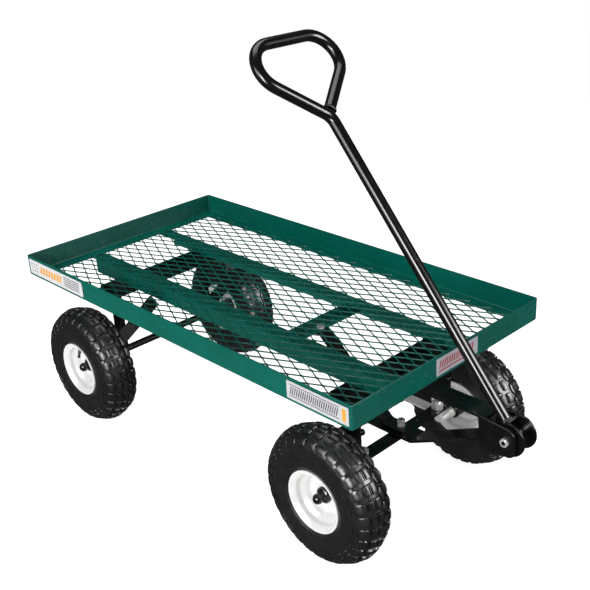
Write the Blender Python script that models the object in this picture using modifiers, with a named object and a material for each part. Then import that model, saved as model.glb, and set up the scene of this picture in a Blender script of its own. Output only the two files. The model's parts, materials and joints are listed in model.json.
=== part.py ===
"""Garden cart: an expanded-metal deck in a frame of steel angle, four pneumatic wheels, knuckle
steering worked by a two-bar tongue, and a tubular pull handle that folds about a cross bolt.

Metres, +X forward, +Y left, +Z up. The origin is on the ground under the middle of the cart's
overall length and width."""
import math

import bpy
import bmesh
from mathutils import Matrix, Vector

# ---------------------------------------------------------------- driving dimensions
GAP = 0.0003                       # clearance left between neighbouring pieces

DECK_X = -0.0725                   # middle of the deck
DECK_L = 0.965
DECK_W = 0.508
RIM_TOP = 0.378                    # top edge of the rails
WALL_H = 0.045                     # height of the rail walls
SHEET = 0.003                      # thickness of the rails and long members
FLANGE_W = 0.031                   # rail flange that carries the mesh
MESH_T = 0.0025
MESH_LONG = 0.1010                 # pitch of the diamonds along X
MESH_SHORT = 0.0470                # pitch of the diamonds along Y
STRAND = 0.0034
MESH_BORDER = 0.0285               # solid edge strip, over the rail flanges

MEMBER_OUT = 0.110                 # long members: outer face and inner edge
MEMBER_IN = 0.077
MEMBER_H = 0.0335
MEMBER_L = 0.956
MEMBER_COPE = 0.034                # the upright leg stops this far short of each end
CROSS_X = DECK_X + 0.1485          # rear face of the cross member
CROSS_LEG = 0.0220
CROSS_FOOT = 0.0200

FRONT_X = DECK_X + 0.363           # front axle and steering axis
REAR_X = DECK_X - 0.365            # rear axle
AXLE_Z = 0.131
FRONT_TRACK = 0.200                # wheel centre planes
REAR_TRACK = 0.204
AXLE_R = 0.008
AXLE_OVER = 0.015                  # axle beyond the wheel's middle plane

BOLSTER_W = 0.060
BOLSTER_H = 0.017
BOLSTER_T = 0.004
BOLSTER_Y = 0.148
FRONT_BOLSTER_X = FRONT_X - 0.005
REAR_BOLSTER_X = REAR_X + 0.017
LEG_X = 0.028                      # leg section
LEG_Y = 0.0125
FRONT_LEG_OUT = 0.1335
REAR_LEG_OUT = 0.1270
REAR_LEG_LOW = AXLE_Z - 0.016
STRAP_TOP = 0.160
STRAP_T = 0.0040
DIMPLE_Y = 0.0496                  # punched dimple in the top of the strap
DIMPLE_R = 0.0035
DIMPLE_DEPTH = 0.0018
STAY_W = 0.028
STAY_T = 0.004

TONGUE_W = 0.043
TONGUE_T = 0.005
UPPER_TOP = 0.281                  # top of the upper tongue bar
FOLD_X = FRONT_X + 0.038           # where the lower tongue bar turns upwards
TONGUE_END = FRONT_X + 0.203
TONGUE_RISE = math.radians(25.4)
PLATE_IN = 0.0220
PLATE_T = 0.005
BRACE_HALF = 0.015
BEND_R = 0.013

KNUCKLE_Y = 0.108
ARM_LENGTH = 0.095                 # kingpin to tie bar
ARM_T = 0.005
ARM_R = 0.0105
BOSS_R = 0.0138                    # the arm's eye round the kingpin
KNEE_R = 0.0135                    # bend from the kingpin's line into the wheel spindle
TIE_R = 0.0125
PIN_R = 0.0050                     # tie and pivot bolts
PIN_HEX = 0.0150                   # hexagons are given across their flats
PIN_NUT = 0.006
PIVOT_HEX = 0.0140
KING_R = 0.0040
KING_HEX = 0.0135
KING_NUT = 0.0085
KINGPIN_R = 0.0080
KINGPIN_HEX = 0.0220
BRACE_BOLT_R = 0.0040
BRACE_HEX = 0.0130
BRACE_NUT = 0.0055
KINGPIN_TOP = 0.014                # top of the kingpin's nut above the strap
THREAD = 0.002                     # bolt end standing proud of its nut
WASHER_R = 0.0105                  # collar on the spindle beside the hub
WASHER_Y = 0.1515

PIVOT = Vector((FRONT_X + 0.247, 0.0, 0.256))
LEAN = math.radians(50.2)          # handle above horizontal, leaning back over the deck
TUBE_R = 0.01065
TUBE_START = 0.0280                # distances along the tube from the pivot
NECK = 0.628
LOOP_TOP = 0.7775
LOOP_SPREAD = math.radians(47.8)   # between the shaft and each side of the grip loop
LOOP_R = 0.047
CHEEK_R = 0.031
CHEEK_OUT = 0.0190
CHEEK_IN = 0.0150
WEB_T = 0.005
WEB_HALF = 0.0135

TYRE_R = 0.131
BEAD_R = 0.0515
RIM_R = 0.060
RIM_HALF = 0.036
RIM_SHEET = 0.0022
HUB_R = 0.0150
HUB_REACH = 0.0465                 # inboard end of the hub from the wheel's middle plane
BALL_R = 0.0098
VALVE_ANGLE = {"front_right": 28, "rear_right": 112, "front_left": 205, "rear_left": 300}

LABEL_T = 0.0004

# heights that follow from the stack of pieces
FLANGE_TOP = RIM_TOP - WALL_H + SHEET
MEMBER_TOP = RIM_TOP - WALL_H - GAP
BOLSTER_TOP = MEMBER_TOP - MEMBER_H - GAP
BOLSTER_LOW = BOLSTER_TOP - BOLSTER_H
CROSS_LOW = MEMBER_TOP - SHEET - GAP - CROSS_LEG
LOWER_Z = STRAP_TOP + GAP + TONGUE_T / 2
BRACE_Z = LOWER_Z + TONGUE_T + GAP
BRACE_TOP_Z = CROSS_LOW - GAP - TONGUE_T / 2
ARM_TOP = STRAP_TOP - STRAP_T - 0.0006
ARM_LOW = ARM_TOP - ARM_T
TIE_TOP = ARM_LOW - GAP
TIE_LOW = TIE_TOP - ARM_T
TIE_X = FRONT_X - ARM_LENGTH
BRACE_BOLT_X = CROSS_X + SHEET + 0.0085

# ---------------------------------------------------------------- clean start
for old in list(bpy.data.objects):
    bpy.data.objects.remove(old, do_unlink=True)
for old in list(bpy.data.collections):
    bpy.data.collections.remove(old)

parts = bpy.data.collections.new("garden_cart")
cutters = bpy.data.collections.new("cutters")
bpy.context.scene.collection.children.link(parts)
bpy.context.scene.collection.children.link(cutters)

# base colour, metallic, roughness
GREEN = ((0.012, 0.130, 0.095), 0.0, 0.35)
BLACK = ((0.012, 0.012, 0.013), 0.0, 0.30)
WHITE = ((0.800, 0.800, 0.790), 0.0, 0.35)
ZINC = ((0.620, 0.620, 0.600), 1.0, 0.35)
RUBBER = ((0.018, 0.018, 0.018), 0.0, 0.70)
PLASTIC = ((0.014, 0.014, 0.014), 0.0, 0.25)
LABEL = ((0.620, 0.620, 0.640), 0.0, 0.45)


# ---------------------------------------------------------------- helpers
def paint(name, look):
    """A Principled material of its own for one piece."""
    colour, metallic, roughness = look
    material = bpy.data.materials.new(name + "_finish")
    material.use_nodes = True
    shader = material.node_tree.nodes["Principled BSDF"]
    shader.inputs["Base Color"].default_value = (*colour, 1.0)
    shader.inputs["Metallic"].default_value = metallic
    shader.inputs["Roughness"].default_value = roughness
    return material


def add(name, data, look, place=(0, 0, 0), turn=(0, 0, 0), parent=None):
    """Put one named piece in the model; place is in world space."""
    obj = bpy.data.objects.new(name, data)
    obj.location = place
    obj.rotation_euler = turn
    data.materials.append(paint(name, look))
    parts.objects.link(obj)
    if parent is not None:
        attach(obj, parent)
    return obj


def attach(obj, parent):
    """Parent a piece without moving it."""
    bpy.context.view_layer.update()
    obj.parent = parent
    obj.matrix_parent_inverse = parent.matrix_world.inverted()


def pivot(name, place, parent=None):
    """An empty on a joint's axis, carrying the pieces that move with it."""
    empty = bpy.data.objects.new(name, None)
    empty.location = place
    empty.empty_display_size = 0.03
    parts.objects.link(empty)
    if parent is not None:
        attach(empty, parent)
    return empty


def mesh_of(bm, name):
    """Turn a bmesh into mesh data and free it."""
    mesh = bpy.data.meshes.new(name)
    bm.to_mesh(mesh)
    bm.free()
    return mesh


def block(name, low, high, look, parent=None):
    """Box between two corners."""
    size = Vector(high) - Vector(low)
    bm = bmesh.new()
    bmesh.ops.create_cube(bm, size=1.0, matrix=Matrix.Diagonal((*size, 1.0)))
    return add(name, mesh_of(bm, name), look, (Vector(low) + Vector(high)) / 2, parent=parent)


def prism(name, radius, low, high, sides, look, place=(0, 0, 0), turn=(0, 0, 0), parent=None):
    """Upright cylinder, or a hexagonal bar with six sides, from low to high about place."""
    bm = bmesh.new()
    lift = Matrix.Translation((0, 0, (low + high) / 2)) @ Matrix.Rotation(math.radians(90), 4, "Z")
    bmesh.ops.create_cone(bm, cap_ends=True, segments=sides, radius1=radius, radius2=radius,
                          depth=high - low, matrix=lift)
    mesh = mesh_of(bm, name)
    mesh.shade_smooth()
    mesh.set_sharp_from_angle(angle=math.radians(35))
    return add(name, mesh, look, place, turn, parent)


def turned(name, profile, look, place, turn=(0, 0, 0), steps=24, parent=None):
    """Turned piece: (radius, height) points down the outer side; a profile off the axis closes."""
    mesh = bpy.data.meshes.new(name)
    count = len(profile)
    edges = [(i, i + 1) for i in range(count - 1)]
    if profile[0][0] > 0:
        edges.append((count - 1, 0))
    mesh.from_pydata([(r, 0, h) for r, h in profile], edges, [])
    obj = add(name, mesh, look, place, turn, parent)
    screw = obj.modifiers.new("turning", "SCREW")
    screw.axis = "Z"
    screw.steps = steps
    screw.render_steps = steps
    screw.use_merge_vertices = True
    screw.merge_threshold = 0.00001
    return obj


def flat(name, outline, thickness, look, place, holes=(), turn=(0, 0, 0), parent=None):
    """Piece cut from flat stock: an outline about place, with through holes."""
    curve = bpy.data.curves.new(name, "CURVE")
    curve.dimensions = "2D"
    curve.fill_mode = "BOTH"
    curve.extrude = thickness / 2
    for loop in [outline, *holes]:
        spline = curve.splines.new("POLY")
        spline.points.add(len(loop) - 1)
        for point, (u, v) in zip(spline.points, loop):
            point.co = (u, v, 0, 1)
        spline.use_cyclic_u = True
    return add(name, curve, look, place, turn, parent)


def as_mesh(obj):
    """Replace a curve piece by its mesh, with the caps welded on, so that it can be cut."""
    bpy.context.view_layer.update()
    name = obj.name
    mesh = bpy.data.meshes.new_from_object(obj.evaluated_get(bpy.context.evaluated_depsgraph_get()))
    bm = bmesh.new()
    bm.from_mesh(mesh)
    bmesh.ops.remove_doubles(bm, verts=bm.verts, dist=0.00001)
    bm.to_mesh(mesh)
    bm.free()
    solid = bpy.data.objects.new(name, mesh)
    solid.matrix_world = obj.matrix_world
    parent = obj.parent
    curve = obj.data
    bpy.data.objects.remove(obj, do_unlink=True)
    bpy.data.curves.remove(curve)
    solid.name = name
    parts.objects.link(solid)
    if parent is not None:
        attach(solid, parent)
    return solid


def combine(obj, tool, operation):
    """Boolean with a tool object, which moves to the cutters."""
    parts.objects.unlink(tool)
    cutters.objects.link(tool)
    tool.name = "cutter_" + tool.name
    tool.hide_render = True
    tool.display_type = "WIRE"
    boolean = obj.modifiers.new(operation.lower(), "BOOLEAN")
    boolean.operation = operation
    boolean.solver = "EXACT"
    boolean.object = tool


def rounding(obj, width, segments=1):
    """Rounded edges on a mesh piece."""
    bevel = obj.modifiers.new("rounding", "BEVEL")
    bevel.width = width
    bevel.segments = segments
    bevel.limit_method = "ANGLE"
    bevel.angle_limit = math.radians(50)


def ring(radius, sides, u=0.0, v=0.0):
    """Outline of a round hole."""
    return [(u + radius * math.cos(2 * math.pi * i / sides), v + radius * math.sin(2 * math.pi * i / sides))
            for i in range(sides)]


def rectangle(half_u, half_v):
    return [(-half_u, -half_v), (half_u, -half_v), (half_u, half_v), (-half_u, half_v)]


def fillet(before, corner, after, radius, steps):
    """Arc that rounds the corner of a polyline."""
    u = (before - corner).normalized()
    v = (after - corner).normalized()
    half = u.angle(v) / 2
    mid = corner + (u + v).normalized() * (radius / math.sin(half))
    first = corner + u * (radius / math.tan(half)) - mid
    last = corner + v * (radius / math.tan(half)) - mid
    sweep = first.angle(last)
    arc = []
    for i in range(steps + 1):
        t = i / steps
        arc.append(mid + (first * math.sin((1 - t) * sweep) + last * math.sin(t * sweep)) / math.sin(sweep))
    return arc


def softened(points, radii, steps):
    """Polyline with one radius for each inner corner."""
    points = [Vector(p) for p in points]
    path = [points[0]]
    for before, corner, after, radius in zip(points, points[1:], points[2:], radii):
        path += fillet(before, corner, after, radius, steps)
    return path + [points[-1]]


def strip(path, thickness):
    """Outline of a bent strip of even thickness along a path."""
    upper = []
    lower = []
    for i, point in enumerate(path):
        before = path[max(i - 1, 0)]
        after = path[min(i + 1, len(path) - 1)]
        along = (after - before).normalized()
        side = Vector((-along.y, along.x)) * thickness / 2
        upper.append(tuple(point + side))
        lower.append(tuple(point - side))
    return upper + lower[::-1]


def hexagon(across):
    """Corner radius of a hexagon with this width across its flats."""
    return across / 2 / math.cos(math.pi / 6)


def bolt(name, place, radius, low, high, nuts, turn=(0, 0, 0), parent=None, look=ZINC):
    """Round shank with hexagonal heads and nuts, each (low, high, width across flats)."""
    shank = prism(name, radius, low, high, 14, look, place, turn, parent)
    for i, (bottom, top, across) in enumerate(nuts):
        nut = prism(name + "_hex_" + str(i), hexagon(across), bottom, top, 6, look, place, turn)
        combine(shank, nut, "UNION")
    return shank


UPRIGHT = (math.radians(90), 0, 0)     # a flat outline (u, v) standing in the XZ plane


# ---------------------------------------------------------------- deck
ANGLE_RAIL = [(0, 0), (FLANGE_W, 0), (FLANGE_W, SHEET), (SHEET, SHEET), (SHEET, WALL_H), (0, WALL_H)]


def rail(name, length, half_span, turn):
    """One side of the deck frame: angle with its flange inward and mitred ends."""
    low = RIM_TOP - WALL_H
    outline = [(-half_span + u, low + v) for u, v in ANGLE_RAIL]
    bar = flat(name, outline, length, GREEN, (0, 0, 0), turn=UPRIGHT)
    bar = as_mesh(bar)
    bar.data.transform(bar.matrix_world)
    bar.matrix_world = Matrix.Identity(4)
    bm = bmesh.new()
    bm.from_mesh(bar.data)
    for end in (1, -1):
        corner = Vector((-half_span, end * (length / 2 - GAP), 0))
        cut = bmesh.ops.bisect_plane(bm, geom=bm.verts[:] + bm.edges[:] + bm.faces[:], plane_co=corner,
                                     plane_no=(1, end, 0), clear_outer=True)
        edges = [e for e in cut["geom_cut"] if isinstance(e, bmesh.types.BMEdge)]
        bmesh.ops.contextual_create(bm, geom=edges)
    bmesh.ops.recalc_face_normals(bm, faces=bm.faces)
    bm.to_mesh(bar.data)
    bm.free()
    bar.data.transform(Matrix.Rotation(turn, 4, "Z"))
    bar.location = (DECK_X, 0, 0)
    rounding(bar, 0.0006)


rail("deck_rail_rear", DECK_W, DECK_L / 2, 0)
rail("deck_rail_front", DECK_W, DECK_L / 2, math.pi)
rail("deck_rail_right", DECK_L, DECK_W / 2, math.pi / 2)
rail("deck_rail_left", DECK_L, DECK_W / 2, -math.pi / 2)


def clipped(loop, axis, sign, limit):
    """A convex outline cut back to sign * coordinate <= limit."""
    out = []
    for p, q in zip(loop, loop[1:] + loop[:1]):
        a = limit - sign * p[axis]
        b = limit - sign * q[axis]
        if a >= 0:
            out.append(p)
        if a * b < 0:
            t = a / (a - b)
            out.append((p[0] + (q[0] - p[0]) * t, p[1] + (q[1] - p[1]) * t))
    return out


def area(loop):
    return abs(sum(a[0] * b[1] - a[1] * b[0] for a, b in zip(loop, loop[1:] + loop[:1]))) / 2


def expanded_mesh():
    """Deck panel with staggered diamond openings, lying on the rail flanges."""
    half_x = DECK_L / 2 - SHEET - 0.001
    half_y = DECK_W / 2 - SHEET - 0.001
    slant = math.hypot(MESH_LONG, MESH_SHORT)
    dx = MESH_LONG / 2 - STRAND / 2 * slant / MESH_SHORT
    dy = MESH_SHORT / 2 - STRAND / 2 * slant / MESH_LONG
    edge = (half_x - MESH_BORDER, half_y - MESH_BORDER)
    rows = int(edge[1] // (MESH_SHORT / 2)) + 1
    columns = int(edge[0] // (MESH_LONG / 2)) + 1
    holes = []
    for j in range(-rows, rows + 1):
        for i in range(-columns, columns + 1):
            if (i + j) % 2:
                continue
            cx = i * MESH_LONG / 2
            cy = j * MESH_SHORT / 2
            hole = [(cx + dx, cy), (cx, cy + dy), (cx - dx, cy), (cx, cy - dy)]
            for axis in (0, 1):
                for sign in (1, -1):
                    hole = clipped(hole, axis, sign, edge[axis])
            if len(hole) > 2 and area(hole) > 0.00025:
                holes.append(hole)
    flat("deck_mesh", rectangle(half_x, half_y), MESH_T, GREEN,
         (DECK_X, 0, FLANGE_TOP + GAP + MESH_T / 2), holes)


expanded_mesh()


def long_member(name, side):
    """Angle under the deck, upright leg outward."""
    leg = side * (MEMBER_OUT - SHEET)
    outline = [(side * MEMBER_OUT, 0), (side * MEMBER_OUT, -MEMBER_H), (leg, -MEMBER_H), (leg, -SHEET),
               (side * MEMBER_IN, -SHEET), (side * MEMBER_IN, 0)]
    turn = (math.radians(90), 0, math.radians(90))
    bar = as_mesh(flat(name, outline, MEMBER_L, GREEN, (DECK_X, 0, MEMBER_TOP), turn=turn))
    rounding(bar, 0.0006)
    for end in (-1, 1):
        x = sorted((end * (MEMBER_L / 2 - MEMBER_COPE), end * MEMBER_L))
        y = sorted((side * (MEMBER_OUT - 2 * SHEET), side * (MEMBER_OUT + SHEET)))
        low = (DECK_X + x[0], y[0], MEMBER_TOP - 2 * MEMBER_H)
        high = (DECK_X + x[1], y[1], MEMBER_TOP - SHEET)
        combine(bar, block(f"{name}_cope_{end}", low, high, GREEN), "DIFFERENCE")


long_member("long_member_left", 1)
long_member("long_member_right", -1)


def cross_member():
    """Angle between the long members; the front brace is bolted under its foot."""
    outline = [(0, 0), (CROSS_FOOT, 0), (CROSS_FOOT, SHEET), (SHEET, SHEET), (SHEET, CROSS_LEG), (0, CROSS_LEG)]
    length = 2 * (MEMBER_OUT - SHEET - GAP)
    bar = as_mesh(flat("cross_member", outline, length, GREEN, (CROSS_X, 0, CROSS_LOW), turn=UPRIGHT))
    drill = prism("cross_member_drill", BRACE_BOLT_R + GAP, -0.02, 0.02, 14, GREEN, (BRACE_BOLT_X, 0, CROSS_LOW))
    combine(bar, drill, "DIFFERENCE")


cross_member()


# ---------------------------------------------------------------- running gear frame
def bolster(name, x):
    """Channel with its legs up, lying across under the long members."""
    a = BOLSTER_W / 2
    b = a - BOLSTER_T
    outline = [(-a, 0), (a, 0), (a, BOLSTER_H), (b, BOLSTER_H), (b, BOLSTER_T), (-b, BOLSTER_T),
               (-b, BOLSTER_H), (-a, BOLSTER_H)]
    return as_mesh(flat(name, outline, 2 * BOLSTER_Y, BLACK, (x, 0, BOLSTER_LOW), turn=UPRIGHT))


bolster("rear_bolster", REAR_BOLSTER_X)
front_bolster = bolster("front_bolster", FRONT_BOLSTER_X)
combine(front_bolster, prism("bolster_drill", KING_R + GAP, -0.02, 0.01, 16, BLACK, (FRONT_X, 0, BOLSTER_LOW)),
        "DIFFERENCE")

strap_holes = [ring(KING_R + GAP, 16)]
strap_holes += [ring(KINGPIN_R + 2 * GAP, 16, 0, y) for y in (KNUCKLE_Y, -KNUCKLE_Y)]
strap = as_mesh(flat("front_strap", rectangle(LEG_X / 2, FRONT_LEG_OUT + 0.0005), STRAP_T, BLACK,
                     (FRONT_X, 0, STRAP_TOP - STRAP_T / 2), strap_holes))
combine(strap, prism("strap_dimple", DIMPLE_R, -DIMPLE_DEPTH, STRAP_T, 14, BLACK, (FRONT_X, DIMPLE_Y, STRAP_TOP)),
        "DIFFERENCE")


def rear_leg(name, side):
    """Leg between the rear axle and the rear bolster."""
    height = BOLSTER_LOW - GAP - REAR_LEG_LOW
    middle = REAR_LEG_LOW + height / 2
    flat(name, rectangle(LEG_X / 2, height / 2), LEG_Y, BLACK, (REAR_X, side * (REAR_LEG_OUT - LEG_Y / 2), middle),
         [ring(AXLE_R + GAP, 16, 0, AXLE_Z - middle)], UPRIGHT)


def front_leg(name, side):
    """Leg between the front strap and the front bolster."""
    y = sorted((side * FRONT_LEG_OUT, side * (FRONT_LEG_OUT - LEG_Y)))
    low = (FRONT_X - LEG_X / 2, y[0], STRAP_TOP + GAP)
    high = (FRONT_X + LEG_X / 2, y[1], BOLSTER_LOW - GAP)
    rounding(block(name, low, high, BLACK), 0.0015)


def rear_stay(name, side):
    """Diagonal flat stay from the foot of the rear leg up to the long member."""
    start = Vector((REAR_X - 0.004, AXLE_Z + 0.020))
    stop = Vector((REAR_X + 0.163, 0.308))
    along = (stop - start).normalized()
    wide = Vector((-along.y, along.x)) * STAY_W / 2
    outline = [start - wide, stop - wide + along * 0.006, stop + wide - along * 0.006, start + wide]
    flat(name, [tuple(p) for p in outline], STAY_T, BLACK, (0, side * (REAR_LEG_OUT + GAP + STAY_T / 2), 0),
         turn=UPRIGHT)


for word, side in (("left", 1), ("right", -1)):
    rear_leg("rear_leg_" + word, side)
    front_leg("front_leg_" + word, side)
    rear_stay("rear_brace_" + word, side)

reach = REAR_TRACK + AXLE_OVER
prism("rear_axle", AXLE_R, -reach, reach, 20, BLACK, (REAR_X, 0, AXLE_Z), UPRIGHT)


def bent_bar(name, points, half_width, holes, pivot_at=None, parent=None):
    """Flat bar bent in the XZ plane; holes are (x, z, radius) of upright bolt holes."""
    path = softened(points, [BEND_R] * (len(points) - 2), 4)
    bar = as_mesh(flat(name, strip(path, TONGUE_T), 2 * half_width, BLACK, (0, 0, 0), turn=UPRIGHT, parent=parent))
    for i, (x, z, radius) in enumerate(holes):
        drill = prism(name + "_drill_" + str(i), radius, -0.012, 0.012, 16, BLACK, (x, 0, z))
        combine(bar, drill, "DIFFERENCE")
    return bar


bent_bar("front_brace",
         [(CROSS_X - 0.0105, BRACE_TOP_Z), (CROSS_X + 0.0235, BRACE_TOP_Z), (FRONT_X - 0.033, BRACE_Z),
          (FRONT_X + 0.015, BRACE_Z)],
         BRACE_HALF, [(BRACE_BOLT_X, BRACE_TOP_Z, BRACE_BOLT_R + GAP), (FRONT_X, BRACE_Z, KING_R + GAP)])

top = CROSS_LOW + SHEET + GAP
low = BRACE_TOP_Z - TONGUE_T / 2 - GAP
bolt("brace_bolt", (BRACE_BOLT_X, 0, 0), BRACE_BOLT_R, low - BRACE_NUT - THREAD, top + BRACE_NUT - 0.001,
     [(low - BRACE_NUT, low, BRACE_HEX), (top, top + BRACE_NUT, BRACE_HEX)])

low = STRAP_TOP - STRAP_T - GAP
high = BRACE_Z + TONGUE_T / 2 + GAP
bolt("king_bolt_lower", (FRONT_X, 0, 0), KING_R, low - KING_NUT - THREAD, high + 0.012,
     [(low - KING_NUT, low, KING_HEX), (high + 0.0065, high + 0.015, KING_HEX), (high, high + 0.0045, KING_HEX)])
low = UPPER_TOP - TONGUE_T - GAP
high = BOLSTER_LOW + BOLSTER_T + GAP
bolt("king_bolt_upper", (FRONT_X, 0, 0), KING_R, low - KING_NUT - THREAD, high + KING_NUT - 0.001,
     [(low - KING_NUT, low, KING_HEX), (high, high + KING_NUT, KING_HEX)], look=BLACK)

# ---------------------------------------------------------------- steering tongue
steering = pivot("steering_axis", (FRONT_X, 0, LOWER_Z))
half = TONGUE_W / 2
bent_bar("tongue_lower_bar",
         [(TIE_X - 0.013, LOWER_Z), (FOLD_X, LOWER_Z),
          (TONGUE_END, LOWER_Z + (TONGUE_END - FOLD_X) * math.tan(TONGUE_RISE))],
         half, [(FRONT_X, LOWER_Z, KING_R + GAP), (TIE_X, LOWER_Z, PIN_R + GAP)], parent=steering)
back_reach = 0.021
outline = [(-back_reach, -half), (TONGUE_END - FRONT_X, -half), (TONGUE_END - FRONT_X, half), (-back_reach, half)]
flat("tongue_upper_bar", outline, TONGUE_T, BLACK, (FRONT_X, 0, UPPER_TOP - TONGUE_T / 2),
     [ring(KING_R + GAP, 16)], parent=steering)

corners = [Vector(p) for p in ((-0.0565, 0.0290), (0.0170, 0.0230), (0.0200, -0.0290), (-0.0520, -0.0300))]
nose = [tuple(corners[0])]
nose += [tuple(p) for p in fillet(*corners[0:3], 0.016, 4) + fillet(*corners[1:4], 0.016, 4)]
nose += [tuple(corners[3])]
for word, side in (("left", 1), ("right", -1)):
    flat("tongue_plate_" + word, nose, PLATE_T, BLACK, PIVOT + Vector((0, side * (PLATE_IN + PLATE_T / 2), 0)),
         [ring(PIN_R + GAP, 14)], UPRIGHT, steering)

outer = PLATE_IN + PLATE_T + GAP
bolt("pivot_bolt", PIVOT, PIN_R, -outer - PIN_NUT - THREAD, outer + PIN_NUT - 0.001,
     [(outer, outer + PIN_NUT, PIVOT_HEX), (-outer - PIN_NUT, -outer, PIVOT_HEX)], UPRIGHT, steering)

# ---------------------------------------------------------------- knuckles and tie bar


def slot_outline(u0, v0, u1, v1, radius, steps=7):
    """Outline of a bar with round ends from (u0, v0) to (u1, v1)."""
    heading = math.atan2(v1 - v0, u1 - u0)
    out = []
    for u, v, start in ((u1, v1, heading - math.pi / 2), (u0, v0, heading + math.pi / 2)):
        for i in range(steps + 1):
            a = start + math.pi * i / steps
            out.append((u + radius * math.cos(a), v + radius * math.sin(a)))
    return out


def spindle(name, y, side, top):
    """Round bar that comes down from the arm and bends outward to carry the wheel."""
    route = [(y, top), (y, AXLE_Z), (side * (FRONT_TRACK + AXLE_OVER), AXLE_Z)]
    curve = bpy.data.curves.new(name, "CURVE")
    curve.dimensions = "3D"
    curve.bevel_depth = AXLE_R
    curve.bevel_resolution = 3
    curve.use_fill_caps = True
    spline = curve.splines.new("POLY")
    path = softened(route, (KNEE_R,), 5)
    spline.points.add(len(path) - 1)
    for point, p in zip(spline.points, path):
        point.co = (0, p.x, p.y, 1)
    return as_mesh(add(name, curve, ZINC, (FRONT_X, 0, 0)))


def arm_outline():
    """Arm with a small eye at the tie bar and a larger one round the kingpin, about the kingpin."""
    lean = math.acos(ARM_R / BOSS_R)
    out = []
    for u, radius, start, sweep in ((0.0, BOSS_R, -math.pi / 2 - lean, math.pi + 2 * lean),
                                    (-ARM_LENGTH, ARM_R, math.pi / 2, math.pi)):
        for i in range(9):
            a = start + sweep * i / 8
            out.append((u + radius * math.cos(a), radius * math.sin(a)))
    return out


def knuckle(word, side):
    """Steering arm with its bent wheel spindle; the kingpin turns with it."""
    y = side * KNUCKLE_Y
    axis = pivot("kingpin_axis_" + word, (FRONT_X, y, AXLE_Z))
    holes = [ring(PIN_R + GAP, 14, -ARM_LENGTH, 0), ring(KINGPIN_R + GAP, 16)]
    arm = as_mesh(flat("knuckle_" + word, arm_outline(), ARM_T, ZINC,
                       (FRONT_X, y, (ARM_LOW + ARM_TOP) / 2), holes, parent=axis))
    seat = ARM_LOW + ARM_T / 2
    collar = prism("knuckle_collar_" + word, BOSS_R - 0.001, ARM_LOW - 0.001, seat, 16, ZINC, (FRONT_X, y, 0))
    combine(arm, collar, "UNION")
    combine(arm, spindle("spindle_" + word, y, side, seat - 0.001), "UNION")
    outward = (math.radians(-90 * side), 0, 0)
    washer = prism("knuckle_washer_" + word, WASHER_R, WASHER_Y - 0.005, WASHER_Y, 16, ZINC, (FRONT_X, 0, AXLE_Z),
                   outward)
    combine(arm, washer, "UNION")
    bolt("kingpin_" + word, (FRONT_X, y, 0), KINGPIN_R, seat + GAP, STRAP_TOP + KINGPIN_TOP + THREAD,
         [(STRAP_TOP + GAP, STRAP_TOP + KINGPIN_TOP, KINGPIN_HEX)], parent=axis)
    return axis


axes = {"left": knuckle("left", 1), "right": knuckle("right", -1)}

tie_axis = pivot("tie_axis", (TIE_X, 0, TIE_TOP), steering)
flat("tie_bar", slot_outline(0, -KNUCKLE_Y, 0, KNUCKLE_Y, TIE_R), ARM_T, BLACK, (TIE_X, 0, TIE_LOW + ARM_T / 2),
     [ring(PIN_R + GAP, 14, 0, y) for y in (-KNUCKLE_Y, 0, KNUCKLE_Y)], parent=tie_axis)
low = TIE_LOW - GAP
for word, y in (("left", KNUCKLE_Y), ("right", -KNUCKLE_Y)):
    bolt("tie_bolt_" + word, (TIE_X, y, 0), PIN_R, low - PIN_NUT + 0.001, ARM_TOP + PIN_NUT + THREAD,
         [(low - PIN_NUT, low, PIN_HEX), (ARM_TOP + GAP, ARM_TOP + PIN_NUT, PIN_HEX)], parent=tie_axis)
bar_low = LOWER_Z - TONGUE_T / 2 - GAP
bar_top = LOWER_Z + TONGUE_T / 2 + GAP
bolt("tie_bolt_centre", (TIE_X, 0, 0), PIN_R, low - PIN_NUT + 0.001, bar_top + PIN_NUT + THREAD,
     [(low - PIN_NUT, low, PIN_HEX), (TIE_TOP + GAP, bar_low, PIN_HEX), (bar_top, bar_top + PIN_NUT, PIN_HEX)],
     parent=tie_axis)

# ---------------------------------------------------------------- handle
handle_axis = pivot("handle_axis", PIVOT, steering)
ALONG = Vector((-math.cos(LEAN), 0, math.sin(LEAN)))


def handle_tube():
    """Round tube: straight shaft, then a closed triangular grip loop in the plane of the shaft and Y."""
    wide = (LOOP_TOP - NECK) * math.tan(LOOP_SPREAD)
    route = [(TUBE_START, 0.0), (NECK - 0.008, 0.0), (LOOP_TOP, -wide), (LOOP_TOP, wide), (NECK + 0.0055, 0.0048)]
    path = softened(route, (0.030, LOOP_R, LOOP_R), 6)
    curve = bpy.data.curves.new("handle_tube", "CURVE")
    curve.dimensions = "3D"
    curve.bevel_depth = TUBE_R
    curve.bevel_resolution = 2
    curve.use_fill_caps = True
    spline = curve.splines.new("POLY")
    spline.points.add(len(path) - 1)
    for point, p in zip(spline.points, path):
        point.co = (*(ALONG * p.x + Vector((0, p.y, 0))), 1)
    add("handle_tube", curve, BLACK, PIVOT, parent=handle_axis)


handle_tube()


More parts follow.
